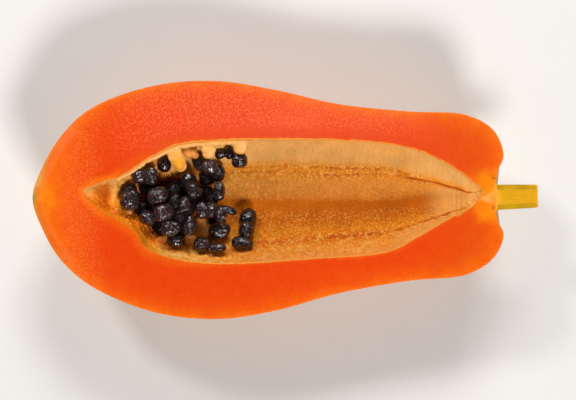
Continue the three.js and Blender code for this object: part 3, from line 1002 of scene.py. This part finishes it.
def blossom_pocket(wall):
    """A ridge between the seeds and the blossom end, and the dark pocket behind it."""
    x, y, v = wall.x, wall.y, wall.v
    ridge_off = x - RIDGE_X - 0.12 * (y - 3.5) - 0.9 * wall.wobble
    ridge = bell(ridge_off, 1.5) * ramp(v, 0.0, 0.6) * ramp(v, 5.0, 3.5)
    pocket = ramp(x, RIDGE_X - 0.6, RIDGE_X - 3.2)
    wall.height += 1.5 * ridge - 0.4 * pocket * ramp(v, 0.0, 1.5) * ramp(v, 6.0, 4.5)
    # darker in the deep pocket: partly its own orange-brown, partly painted shade in the hollow
    deep = pocket * ramp(v, 0.3, 1.2) * ramp(v, 6.0, 5.2)
    wall.tint(POCKET_BROWN, deep * ramp(x, -80.5, -77.5))
    wall.tint(POCKET_DARK, deep * bell(from_spot(x, y, (-72.0, 0.6), (3.0, 4.0)), 1))
    wall.tint(LEFT_TAN, ridge)
    wall.tint(LEFT_TAN, 0.8 * bell(from_spot(x, y, (-78.4, 3.6), (2.0, 2.2)), 1))


def heap_darkening(wall):
    """The wall is darker, red-brown, where the heap lies on it."""
    from_heap = from_spot(wall.x, wall.y, HEAP_MIDDLE, HEAP_HALF)
    wall.tint(HEAP_RED_BROWN, 0.85 * ramp(from_heap + 0.12 * wall.soft, 1.05, 0.7))


def drawn_in(points, inset):
    """Cavity points moved in from the wall by about `inset`, less at the narrow ends."""
    whole = cavity_points(np.linspace(0, 1, 401), 60).reshape(-1, 3)
    low, high = whole.min(axis=0), whole.max(axis=0)
    middle = np.array([*(low + high)[:2] / 2, CUT_Z])
    half = np.array([*(high - low)[:2] / 2, CUT_Z - low[2]])
    return middle + (points - middle) * (1 - np.asarray(inset)[..., None] / half)


def lining_surface():
    """The lining's inner surface: its points, its look and the smooth grid behind it."""
    along = even_places(CAVITY_STATIONS, LINING_SPACING)
    behind = cavity_points(along, LINING_SIDES)
    thicker = ramp(CUT_Z - behind[..., 2], 0, THICKEN_DEPTH)
    smooth = drawn_in(behind, lerp(RIM_THICKNESS, LINING_THICKNESS, thicker))
    wall = Wall(smooth)
    for layer in (torn_rows, stem_fold, crumbly_sides, heap_gel, blossom_pocket, heap_darkening):
        layer(wall)
    inward = grid_normals(smooth)
    inward = inward * np.sign(inward[:, LINING_SIDES // 2, 2])[:, None, None]
    room = np.maximum(((smooth - behind) * inward).sum(axis=-1), 0)
    height = np.maximum(wall.height, -0.6 * room)
    depth = CUT_Z - smooth[..., 2]
    share = along * (len(CAVITY_STATIONS) - 1)
    ends = ramp(np.minimum(share, share[-1] - share), 0.02, 0.5)[:, None]
    points = smooth + inward * (height * ramp(depth, 0.0, 1.2) * ends)[..., None]
    points[..., 2] = np.minimum(points[..., 2], CUT_Z - 0.2 * ends)
    x, y = behind[..., 0], behind[..., 1]
    rim_depth = lerp(0.9, 3.0, ramp(x, -54, -70))
    rim = ramp(depth + 0.6 * lumps(smooth, 2.6, seed=57), rim_depth, 0.3 * rim_depth)
    near_left = ramp(x, -44, -56) * ramp(y, 4.0, -1.0)
    wall.tint(RIM_PALE, rim * (1 - near_left))
    wall.tint(RIM_ORANGE, rim * near_left)
    return points, wall, behind


def rim_columns(edge, outer, outward):
    """Three columns over the rim, from the edge of the inner surface to that of the back."""
    x = edge[:, 0]
    ends = ramp(x, -80, -74) * ramp(x, 79, 75)
    wander = RIM_WANDER * lumps(edge * (1, 1, 0), 2.4, seed=64 + outward)
    if outward < 0:
        wander = wander + RIM_NICK * ramp(x, 72.5, 70.5) * ramp(x, 67.5, 69.5)
    columns = []
    for share, drop in RIM_STEPS:
        column = lerp(edge, outer, share)
        column[:, 2] = CUT_Z - drop
        column[:, 1] += outward * share * ends * wander
        columns.append(column)
    return np.stack(columns, axis=1)


def cavity_lining():
    """The lining as a closed shell: inner surface, a rounded rim at the cut, and its back."""
    inner, wall, behind = lining_surface()
    back = drawn_in(behind[:, ::-LINING_BACK_STEP], -LINING_BACK)
    back[..., 2] = np.minimum(back[..., 2], CUT_Z - 0.1)
    near_rim = rim_columns(inner[:, -1], back[:, 0], -1)
    far_rim = rim_columns(inner[:, 0], back[:, -1], 1)[:, ::-1]
    grid = np.concatenate([inner, near_rim, back, far_rim], axis=1)
    for end in (0, -1):
        grid[end] = grid[end].mean(axis=0)
    x, y = grid[..., 0], grid[..., 1]
    on_left = ramp(x, -40, -60) * (0.7 + 0.6 * lumps(grid, 3.0, seed=66))
    coat = Coat(grid, RIM_EDGE)
    coat.tint(RIM_ORANGE, on_left * np.maximum(ramp(y, 4, -1), ramp(x, -74, -79)))
    start = inner.shape[1]
    outer = np.zeros(x.shape)
    outer[:, start : start + len(RIM_STEPS)] = RIM_BLEND
    coat.tint(FLESH_RIM, outer * ramp(x[:, start], -34, -50)[:, None])
    coat.colours[:, :start] = wall.colours
    granular = np.full(x.shape, RIM_GRAIN)
    granular[:, :start] = wall.granular
    mesh = new_mesh("cavity_lining", grid.reshape(-1, 3), grid_faces(*x.shape, wrap=True))
    mesh.materials.append(lining_material())
    paint(mesh, "tone", coat.colours.reshape(-1, 3), granular.ravel())
    closed(mesh)
    add_piece("cavity_lining", mesh, ["lining"])
    tree = BVHTree.FromPolygons(inner.reshape(-1, 3).tolist(), grid_faces(*inner.shape[:2]))
    return mesh_points(mesh), tree


# ---- The stem ----

STEM_FOOT = (84.9, 1.1)
STEM_SIDE = 16.7  # up to where its cut end is rounded
STEM_LENGTH = 17.4
STEM_PROFILE = [(0, 5.7), (1.4, 5.1), (8.1, 4.9), (STEM_SIDE, 4.65), (STEM_LENGTH, 4.2)]
STEM_TILT = 0.03  # radians
STEM_CORE_DIP = 0.22  # between the green bands
STEM_END_DROP = 0.35  # where the cut end is rounded
STEM_ROWS = 84  # along its side
STEM_SIDES = 40  # across the cut face, and again round the bark
STEM_BARK = 0.56  # the green bands start at this share of the radius

STEM_GREEN = tone(206, 156, 4)
STEM_OLIVE = tone(194, 150, 2)
STEM_DARK = tone(180, 136, 2)
STEM_STREAK = tone(212, 150, 4)
STEM_CORE = tone(224, 160, 8)
STEM_END = tone(255, 172, 30)


def stem_tones(local, top, bark, ribs, knobs):
    """A golden core between green bands, a golden foot and a pale cut end."""
    s, y = local[..., 0], local[..., 1]
    patch = lumps(local, (4.0, 2.0, 2.0), seed=63)
    green = Coat(local, STEM_GREEN)
    green.tint(STEM_OLIVE, ramp(patch, -0.1, 0.25))
    green.tint(STEM_DARK, 0.7 * np.maximum(bell(s - 2.0, 1.4), bell(s - 10.5, 3.0)))
    coat = Coat(local, STEM_CORE)
    coat.tint(STEM_STREAK, bell(s - 8.5, 3.5) * bell(y - 0.6, 0.8) * (0.6 + ribs))
    coat.tint(NOTCH_FOOT, ramp(s + 1.2 * knobs, 3.2, 0.8))
    coat.tint(green.colours, np.where(top, bark, 1.0) * ramp(s + 0.5 * knobs, 0.3, 1.1))
    coat.tint(STEM_END, ramp(s, 16.4, 17.0))
    return np.concatenate([coat.colours.reshape(-1, 3), [NOTCH_FOOT, STEM_END]])


def papaya_stem():
    """A half-round stem: its cut face on top, the round bark below, and a cut end."""
    places = np.concatenate([np.linspace(0.0, STEM_SIDE, STEM_ROWS), [17.0, 17.25, STEM_LENGTH]])
    radius = np.pad(traced(STEM_PROFILE, places), 3, mode="edge")
    radius = np.convolve(radius, np.ones(7) / 7, mode="valid")[:, None]
    share = np.linspace(1, -1, STEM_SIDES + 1)
    angle = np.linspace(np.pi, 2 * np.pi, STEM_SIDES + 1)[1:-1]
    across = np.concatenate([share, np.cos(angle)])
    down = np.concatenate([0 * share, np.sin(angle)])
    s, y, z = places[:, None] + 0 * across, radius * across, radius * down
    local = np.stack([s, y, z], axis=-1)
    ribs = lumps(local, (14.0, 0.8, 0.8), seed=61)
    knobs = lumps(local, 2.5, seed=62)
    bark = ramp(abs(across), STEM_BARK - 0.02, STEM_BARK + 0.06)
    top = down == 0
    rise = 0.07 * ribs - STEM_CORE_DIP * (1 - bark) * ramp(s, 1, 3)
    length = 1 + np.where(top, 0, 0.12 * ribs + 0.1 * knobs) / np.maximum(radius, 1)
    cosine, sine = math.cos(STEM_TILT), math.sin(STEM_TILT)
    x = STEM_FOOT[0] + s * cosine - y * length * sine
    rounding = STEM_END_DROP * (np.maximum(s - STEM_SIDE, 0) / (STEM_LENGTH - STEM_SIDE)) ** 2
    height = CUT_Z - 0.03 + np.where(top, np.minimum(rise, 0) - rounding, z * length)
    grid = np.stack([x, STEM_FOOT[1] + s * sine + y * length * cosine, height], axis=-1)
    columns = len(across)
    points = grid.reshape(-1, 3)
    faces = grid_faces(len(places), columns, wrap=True)
    for end, first in enumerate((0, len(points) - columns)):
        rim = [first + i for i in range(columns)]
        centre = len(points) + end
        faces += [(centre, a, b) for a, b in zip(rim, rim[1:] + rim[:1])]
    caps = [grid[0].mean(axis=0), grid[-1].mean(axis=0)]
    mesh = new_mesh("papaya_stem", np.concatenate([points, caps]), faces)
    mesh.materials.append(stem_material())
    paint(mesh, "tone", stem_tones(local, top, bark, ribs, knobs))
    closed(mesh)
    add_piece("papaya_stem", mesh, ["stem"])


# ---- Seeds ----

# x and y as they look from above, heading in degrees, length, width and greyness,
# from the lowest to the topmost
UNDER_SEEDS = [
    (-62.6, 3.4, 45, 6.5, 5.6, 0),
    (-55.5, 4.9, 0, 7.3, 5.2, 0),
    (-57.1, -3.2, 30, 7.3, 6.0, 0),
    (-50.2, -10.9, -40, 6.9, 5.4, 0),
    (-43.8, 4.3, 60, 7.7, 6.4, 0),
    (-44.2, -0.4, 100, 7.7, 6.4, 0),
    (-30.9, 8.9, 0, 6.9, 5.6, 0),
    (-31.5, 2.5, 0, 7.7, 6.4, 0),
    (-27.2, -8.4, 0, 6.9, 4.8, 0),
    (-29.3, 0.4, 60, 6.9, 5.2, 0),
    (-41.8, -11.3, 85, 8.1, 4.4, 0),
    (-41.8, -6.0, 40, 6.9, 5.6, 0),
    (-35.7, -0.4, 20, 6.9, 5.6, 0),
]
SEEDS = [
    (-62.3, 0.4, 80, 8.9, 7.7, 0.35),
    (-55.1, -7.2, -20, 6.9, 5.6, 0.35),
    (-48.6, 14.6, 80, 6.1, 5.2, 0.15),
    (-25.6, 18.6, 10, 4.8, 3.6, 0.1),
    (-22.4, 19.4, 90, 5.6, 3.2, 0),
    (-18.2, 16.4, 90, 6.5, 6.1, 0.25),
    (-34.9, 16.0, 110, 7.7, 4.8, 0.3),
    (-58.3, 9.9, 10, 6.9, 6.1, 0.7),
    (-53.9, 9.7, 80, 6.9, 5.6, 0.5),
    (-43.8, -16.3, -5, 6.9, 5.6, 0.15),
    (-45.8, -11.3, 10, 7.7, 6.3, 0.5),
    (-51.0, 1.9, 18, 8.5, 6.7, 0.55),
    (-48.4, -5.0, 15, 8.5, 6.9, 0.8),
    (-40.1, -1.8, 90, 6.5, 4.4, 0.6),
    (-38.9, 7.7, 100, 7.3, 6.5, 0),
    (-36.7, 3.9, 120, 6.9, 6.1, 0.1),
    (-26.8, 10.9, 70, 6.5, 5.6, 0.1),
    (-30.3, 13.4, 0, 6.1, 5.9, 0.85),
    (-26.4, 3.7, 85, 7.7, 4.4, 0.25),
    (-33.1, -4.0, 100, 6.9, 5.2, 0.3),
    (-29.7, -3.8, 80, 6.9, 4.4, 0.25),
    (-25.6, -5.4, 85, 6.5, 4.4, 0.3),
    (-22.2, -4.2, -20, 6.1, 3.0, 0),
    (-38.1, -10.2, 78, 8.1, 4.8, 0.45),
    (-33.1, -17.9, 5, 6.9, 6.1, 0.7),
    (-27.2, -19.3, 0, 7.3, 3.6, 0.3),
    (-26.2, -12.3, 14, 8.5, 6.7, 0.3),
]
LOOSE_SEEDS = [
    (-14.7, -6.8, 80, 6.9, 6.5, 0.1),
    (-15.3, -11.9, 75, 6.9, 6.1, 0.2),
    (-16.9, -17.3, -4, 8.1, 5.0, 0.25),
]
# a seed's number sets its random turn and wrinkles: where each list starts to count
FIRST_SEED, FIRST_LOOSE_SEED = 20, 60
UNDER_LEVEL, SEED_LEVEL = 3, 4  # how finely a seed is divided
UNDER_GLOSS = 0.15  # of the lowest seeds' wet coats
FIRST_DEPTH = 12.0  # a first guess of how deep a seed lies
SEED_TAPER = 0.14
SEED_BLUNTNESS = 2.35  # 2 is an ellipsoid
SEED_FLATNESS = 0.9  # thickness as a share of the width
SEED_TILT = 0.22  # radians, at most
SEED_SINK = 0.55  # how far a seed's coat presses into what it lies on
SEED_CLEARANCE = 0.7  # of the topmost seeds below the cut

SEED_BLACK = tone(12, 6, 13)
SEED_GREY = tone(66, 40, 42)
SEED_BROWN = tone(84, 46, 26)


def ball(level):
    """Points and faces of a unit ball."""
    bm = bmesh.new()
    bmesh.ops.create_icosphere(bm, subdivisions=level, radius=1.0)
    return emptied(bm)


def seed_shape(length, width, level, seed):
    """An egg-shaped seed along X with lengthwise wrinkles in its wet coat."""
    points, faces = ball(level)
    points = points / np.linalg.norm(points, ord=SEED_BLUNTNESS, axis=1, keepdims=True)
    ridge = 1 - 2.2 * abs(lumps(points * (1.7, 4.4, 4.4), 1.0, seed=70 + seed))
    uneven = lumps(points, 1.0, seed=90 + seed)
    dimple = lumps(points, 0.4, seed=110 + seed)
    swell = 1.0 + 0.075 * np.clip(ridge, -0.6, 1) + 0.07 * uneven + 0.05 * dimple
    shaped = points * (length / 2, width / 2, width * SEED_FLATNESS / 2) * swell[:, None]
    shaped[:, 1:] *= 1 - SEED_TAPER * points[:, :1]
    return shaped, faces, ridge


class Ground:
    """Everything that seeds can lie on: the lining, the core and the seeds laid so far."""

    above = CUT_Z + 20  # where rays start

    def __init__(self):
        self.trees = []

    def add(self, points, faces, tree=None):
        low, high = points.min(axis=0), points.max(axis=0)
        self.trees.append((tree or BVHTree.FromPolygons(points.tolist(), faces), low, high))

    def height(self, x, y):
        """The height of the topmost surface there."""
        top = -1.0
        for tree, low, high in self.trees:
            if low[0] <= x <= high[0] and low[1] <= y <= high[1]:
                hit = tree.ray_cast(Vector((x, y, self.above)), Vector((0, 0, -1)))[0]
                if hit is not None:
                    top = max(top, hit[2])
        return top


def resting_height(ground, points):
    """How far to lift a shape so that it just rests on the ground, less its sink."""
    under = points[points[:, 2] < 0]
    lifts = [ground.height(x, y) - z for x, y, z in under[:: max(1, len(under) // 60)].tolist()]
    return max(lifts) - SEED_SINK


def laid_seed(ground, entry, level, seed):
    """A seed's points in place, its faces and its vertices' colours."""
    x, y, heading, length, width, grey = entry
    roll, pitch = np.random.RandomState(300 + seed).uniform(-SEED_TILT, SEED_TILT, 2)
    turns = ((math.radians(heading), "Z"), (pitch, "Y"), (roll, "X"))
    about_z, about_y, about_x = (Matrix.Rotation(turn, 3, axis) for turn, axis in turns)
    turn = np.array(about_z @ about_y @ about_x)
    z = CUT_Z - FIRST_DEPTH
    for _ in range(2):  # its height changes its true place and size, so it is laid twice
        place, farness = placed(x, y, z)
        shaped, faces, ridge = seed_shape(length * farness, width * farness, level, seed)
        points = shaped @ turn.T
        points[:, :2] += place
        z = min(resting_height(ground, points), CUT_Z - SEED_CLEARANCE - points[:, 2].max())
    points[:, 2] += z
    coat = Coat(points, lerp(SEED_BLACK, SEED_GREY, grey))
    coat.tint(SEED_BLACK, 0.6 * ramp(ridge, 0.2, -0.5))
    coat.tint(SEED_BROWN, 0.35 * grey * ramp(lumps(points, 4.0, seed=seed), 0, 0.5))
    ground.add(points, faces)
    return points, faces, coat.colours


def joined_mesh(name, parts, material, gloss=1.0):
    """One mesh from several (points, faces, colours)."""
    points, faces, colours = zip(*parts)
    starts = np.cumsum([0] + [len(part) for part in points])
    shifted = [(np.array(part) + start).tolist() for part, start in zip(faces, starts)]
    mesh = new_mesh(name, np.concatenate(points), sum(shifted, []))
    mesh.materials.append(material)
    paint(mesh, "tone", np.concatenate(colours), gloss)
    return mesh


CORE_MIDDLE = (-46.6, -0.6)
CORE_HALF = (13.6, 11.8)
CORE_HEIGHT = 5.0
CORE_ROOT = 1.5  # how far the core reaches down into the lining
CORE_DIP = 1.0  # its edge ends below the lining's surface
CORE_SPACING = 0.55
CORE_GLOSS = 0.1
CORE_PULP_AND_SHADE = tone(20, 8, 6)
CORE_BROWN = tone(150, 54, 10)
CORE_EDGE = tone(232, 96, 4)


def seed_core(ground, look):
    """Packed dark pulp under the heap, painted near-black as shade between the seeds: a low mound on
    the lining, hollow where no seed lies.
    """
    u, w = (np.linspace(-1, 1, int(2 * half / CORE_SPACING) + 1) for half in CORE_HALF)
    gu, gw = np.meshgrid(u, w, indexing="ij")
    round_u, round_w = np.sqrt(1 - gw**2 / 2) * gu, np.sqrt(1 - gu**2 / 2) * gw
    x = CORE_MIDDLE[0] + round_u * CORE_HALF[0]
    y = CORE_MIDDLE[1] + round_w * CORE_HALF[1]
    floor = np.array([[ground.height(a, b) for a, b in zip(*row)] for row in zip(x, y)])
    from_middle = np.hypot(round_u, round_w)
    hollow = bell(from_spot(x, y, (-47.8, 9.0), (5.2, 3.6)), 1)
    flat = np.stack([x, y, 0 * x], axis=-1)
    bumps = 0.5 * lumps(flat, 3.0, seed=81) + 0.3 * grains(flat, 1.6, seed=82)
    kept = ramp(from_middle, 1.0, 0.8)
    rise = CORE_HEIGHT * (1 - from_middle**2) * (1 - 0.8 * hollow) + bumps * kept
    top = np.stack([x, y, floor + lerp(-CORE_DIP, rise, kept)], axis=-1).reshape(-1, 3)
    under = np.stack([x, y, floor - CORE_ROOT], axis=-1).reshape(-1, 3)
    count = x.size
    upper = grid_faces(*x.shape)
    lower = [[i + count for i in face[::-1]] for face in upper]
    index = np.arange(count).reshape(x.shape)
    ring = [*index[:, 0], *index[-1, 1:], *index[-2::-1, -1], *index[0, -2:0:-1]]
    sides = [(a, b, b + count, a + count) for a, b in zip(ring, ring[1:] + ring[:1])]
    # near-black: the pulp's own dark colour and painted shade between the seeds
    coat = Coat(x[..., None], CORE_PULP_AND_SHADE)
    gap = np.maximum(hollow, bell(from_spot(x, y, (-55.1, 3.3), (3.0, 3.0)), 1))
    coat.tint(CORE_BROWN, gap * ramp(bumps, -0.3, 0.3))
    coat.tint(CORE_EDGE, ramp(from_middle, 0.72, 0.9))
    colours = np.tile(coat.colours.reshape(-1, 3), (2, 1))
    part = (np.concatenate([top, under]), upper + lower + sides, colours)
    mesh = joined_mesh("seed_core", [part], look, CORE_GLOSS)
    ground.add(top, upper)
    closed(mesh, 0.1 * WELD)
    add_piece("seed_core", mesh)


def all_seeds(ground, look):
    """The heap, from its lowest seeds to its topmost, and the loose seeds beside it."""
    heap = [laid_seed(ground, entry, UNDER_LEVEL, i) for i, entry in enumerate(UNDER_SEEDS)]
    under_count = sum(len(part[0]) for part in heap)
    heap += [laid_seed(ground, entry, SEED_LEVEL, FIRST_SEED + i) for i, entry in enumerate(SEEDS)]
    gloss = np.ones(sum(len(part[0]) for part in heap))
    gloss[:under_count] = UNDER_GLOSS
    add_piece("heap_seeds", joined_mesh("heap_seeds", heap, look, gloss), ["seed_heap"])
    for i, entry in enumerate(LOOSE_SEEDS):
        part = laid_seed(ground, entry, SEED_LEVEL, FIRST_LOOSE_SEED + i)
        node = f"loose_seed_{len(LOOSE_SEEDS) - i}"
        name = f"seed_apart_{i + 1}"
        add_piece(name, joined_mesh(name, [part], look), [node])


# ---- Pulp ----

PULP_VOXEL = 0.3
MEMBRANE_X = (-67.0, -10.5)  # the pulp skin along the far rim
MEMBRANE_STEP = 0.8
PULP_CREAM = tone(242, 166, 78)
PULP_PALE = tone(250, 178, 92)
PULP_YELLOW = tone(255, 164, 14)
PULP_ORANGE = tone(228, 142, 48)
PULP_BROWN = tone(216, 132, 40)
PULP_TAN = tone(232, 144, 50)

# lumps at the far rim: x and y as they look from above, height, half sizes, colour and heading
DRIP = [
    (-44.6, 19.4, 43.2, (3.4, 2.2, 1.2), PULP_PALE, 0),
    (-43.9, 17.6, 42.8, (3.3, 2.6, 1.4), PULP_PALE, 0),
    (-42.9, 15.6, 42.2, (3.2, 2.8, 1.5), PULP_CREAM, 0),
    (-42.1, 13.9, 41.6, (2.8, 2.7, 1.4), PULP_CREAM, 0),
    (-43.2, 16.2, 43.1, (2.1, 4.2, 1.1), PULP_YELLOW, 18),
    (-44.6, 19.3, 43.5, (1.7, 2.8, 0.9), PULP_YELLOW, 30),
]
RIM_LUMPS = [
    (-30.7, 20.4, 43.0, (3.2, 1.9, 1.3), PULP_PALE, 0),
    (-30.6, 18.8, 42.2, (2.7, 2.2, 1.5), PULP_PALE, 0),
    (-17.9, 22.4, 43.2, (3.6, 1.5, 1.2), PULP_PALE, 0),
    (-17.8, 20.9, 42.4, (3.0, 2.5, 1.6), PULP_PALE, 0),
]
TAN_LUMP = [
    (-39.4, 20.0, 41.6, (1.9, 1.7, 1.3), PULP_TAN, 0),
    (-38.6, 18.4, 41.2, (1.7, 1.6, 1.4), PULP_TAN, 0),
    (-37.2, 19.6, 41.2, (2.0, 1.8, 1.4), PULP_ORANGE, 0),
    (-36.0, 18.2, 40.6, (1.7, 1.6, 1.4), PULP_BROWN, 0),
]
# scraps between the seeds: x, y, lift over what they lie on, half sizes, colour and heading
BITS = [
    (-60.7, 7.7, 0.5, (2.2, 1.2, 1.0), PULP_TAN, 50),
    (-53.0, 15.0, 0.5, (2.0, 1.9, 1.0), PULP_TAN, 30),
    (-35.9, 10.2, 0.5, (4.4, 1.5, 1.4), PULP_TAN, -45),
    (-31.3, 6.1, 3.6, (1.7, 1.3, 1.0), PULP_CREAM, 0),
    (-63.2, -4.9, 0.5, (1.8, 1.1, 1.0), PULP_CREAM, -20),
    (-53.3, -11.3, 0.5, (1.6, 1.2, 1.0), PULP_CREAM, -20),
    (-49.3, -16.1, 0.5, (2.6, 1.9, 1.3), PULP_ORANGE, 0),
    (-38.6, -16.3, 0.5, (3.0, 2.5, 1.2), PULP_TAN, 10),
    (-33.0, -10.9, 0.7, (4.4, 4.6, 1.2), PULP_TAN, 0),
]


def melted(name, vertices, faces):
    """A mesh of overlapping lumps, remeshed into one smooth closed surface."""
    rough = new_object(name + "_rough", new_mesh(name, vertices, faces))
    remesh = rough.modifiers.new("melt", "REMESH")
    remesh.mode = "VOXEL"
    remesh.voxel_size = PULP_VOXEL * MM
    soften = rough.modifiers.new("soften", "SMOOTH")
    soften.iterations = 10
    evaluated = rough.evaluated_get(bpy.context.evaluated_depsgraph_get())
    mesh = bpy.data.meshes.new_from_object(evaluated)
    mesh.name = name
    bpy.data.objects.remove(rough)
    return mesh


def pulp_mesh(name, blobs, material):
    """Lumps melted into one surface, each with its own colour."""
    points, faces = ball(3)
    spots, shells, vertices = [], [], []
    for x, y, z, half, colour, heading in blobs:
        at = np.array([*placed(x, y, z)[0], z])
        turn = np.array(Matrix.Rotation(math.radians(heading), 3, "Z"))
        shells += (np.array(faces) + len(points) * len(spots)).tolist()
        vertices.append((points * half) @ turn.T + at)
        spots.append((at, half, turn))
    mesh = melted(name, np.concatenate(vertices), shells)
    places = mesh_points(mesh)
    wobble = 0.22 * lumps(places, 2.6, seed=101) + 0.06 * grains(places, 0.9, seed=102)
    places = places + vertex_values(mesh, "normal") * wobble[:, None]
    places[:, 2] = np.minimum(places[:, 2], CUT_Z)
    mesh.vertices.foreach_set("co", (places * MM).astype(np.float32).ravel())
    weights = []
    for at, half, turn in spots:
        local = (places - at) @ turn / half
        weights.append(np.exp(-4.5 * np.linalg.norm(local, axis=1) ** 2) + 1e-9)
    weights = np.array(weights) / np.sum(weights, axis=0)
    mesh.shade_smooth()
    mesh.materials.clear()
    mesh.materials.append(material)
    paint(mesh, "tone", weights.T @ np.array([blob[4] for blob in blobs]))
    return mesh


def rim_membrane():
    """Blobs of the pulp skin that hangs from the far rim, thicker in some places."""
    blobs = []
    random = np.random.RandomState(5)
    far_rim = rim_curve(FAR)
    for x in np.arange(*MEMBRANE_X, MEMBRANE_STEP):
        y = traced(far_rim, x) - 1.0 + random.uniform(-0.3, 0.3)
        width = 0.75 + 0.5 * ramp(x, -60, -48) + random.uniform(-0.15, 0.25)
        width = width * lerp(0.45, 1.0, ramp(x, -10, -19))
        colour = lerp(PULP_CREAM, PULP_PALE, random.uniform(0, 1))
        low = 0.5 * ramp(x, -19, -10)
        blobs.append((x, y + low, CUT_Z - 1.1 - low, (1.3, width, 0.85), colour, 0))
    return blobs


def pulp_bits(ground):
    """Each scrap is a lump with a smaller one beside it."""
    blobs = []
    for x, y, lift, half, colour, heading in BITS:
        z = ground.height(x, y) + lift + 0.3 * half[2]
        beside = (x + 0.5 * half[0], y + 0.3 * half[1], z + 0.2)
        blobs.append((x, y, z, half, colour, heading))
        blobs.append((*beside, [0.6 * h for h in half], colour, heading))
    return blobs


def pulp_pieces(ground):
    look = pulp_material()
    rim = rim_membrane() + DRIP + RIM_LUMPS
    hanging = ["pulp_1", "pulp_3", "pulp_4"]
    add_piece("pulp_rim", pulp_mesh("pulp_rim", rim, look), hanging)
    add_piece("pulp_lump", pulp_mesh("pulp_lump", TAN_LUMP, look), ["pulp_2"])
    add_piece("pulp_bits", pulp_mesh("pulp_bits", pulp_bits(ground), look))


# ---- The studio, in metres ----

# place, size and power in watts
LIGHTS = {
    "key": ((0.3, -0.85, 0.95), (0.32, 0.24), 11.0),
    "fill": ((0.12, 0.95, 0.85), (0.45, 0.3), 8.6),
    "sheen": ((0.004, 0.1, 1.15), (0.34, 0.06), 0.12),
    "left": ((-0.55, 0.62, 0.78), (0.16, 0.16), 3.8),
}
LIT_PLACE = Vector((0, 0, 0.03))
SKY = (1.0, 0.98, 0.95, 1.0)
SKY_STRENGTH = 0.08
FLOOR_HALF = 1.5


def area_light(name, place, size, power):
    data = bpy.data.lights.new(name, "AREA")
    data.shape = "RECTANGLE"
    data.size, data.size_y = size
    data.energy = power
    light = new_object(name, data)
    light.location = place
    light.rotation_euler = (LIT_PLACE - Vector(place)).to_track_quat("-Z", "Y").to_euler()


def new_sky():
    world = bpy.data.worlds.new("studio")
    world.use_nodes = True
    background = world.node_tree.nodes["Background"]
    background.inputs["Color"].default_value = SKY
    background.inputs["Strength"].default_value = SKY_STRENGTH
    return world


def add_floor():
    corners = [(x * FLOOR_HALF, y * FLOOR_HALF, 0) for x, y in ((-1, -1), (1, -1), (1, 1), (-1, 1))]
    mesh = bpy.data.meshes.new("floor")
    mesh.from_pydata(corners, [], [(0, 1, 2, 3)])
    mesh.materials.append(floor_material())
    new_object("floor", mesh)


def new_camera():
    data = bpy.data.cameras.new("camera")
    data.lens = LENS
    data.clip_start = 0.01
    made = new_object("camera", data)
    made.location = [value * MM for value in CAMERA_AT]
    return made


scene = bpy.context.scene
scene.view_settings.view_transform = "Standard"
scene.world = new_sky()
for name, light in LIGHTS.items():
    area_light(name, *light)
add_floor()
scene.camera = new_camera()

papaya_body()
lining_points, lining_tree = cavity_lining()
papaya_stem()
ground = Ground()
ground.add(lining_points, [], lining_tree)
seed_look = seed_material()
seed_core(ground, seed_look)
pulp_pieces(ground)
all_seeds(ground, seed_look)
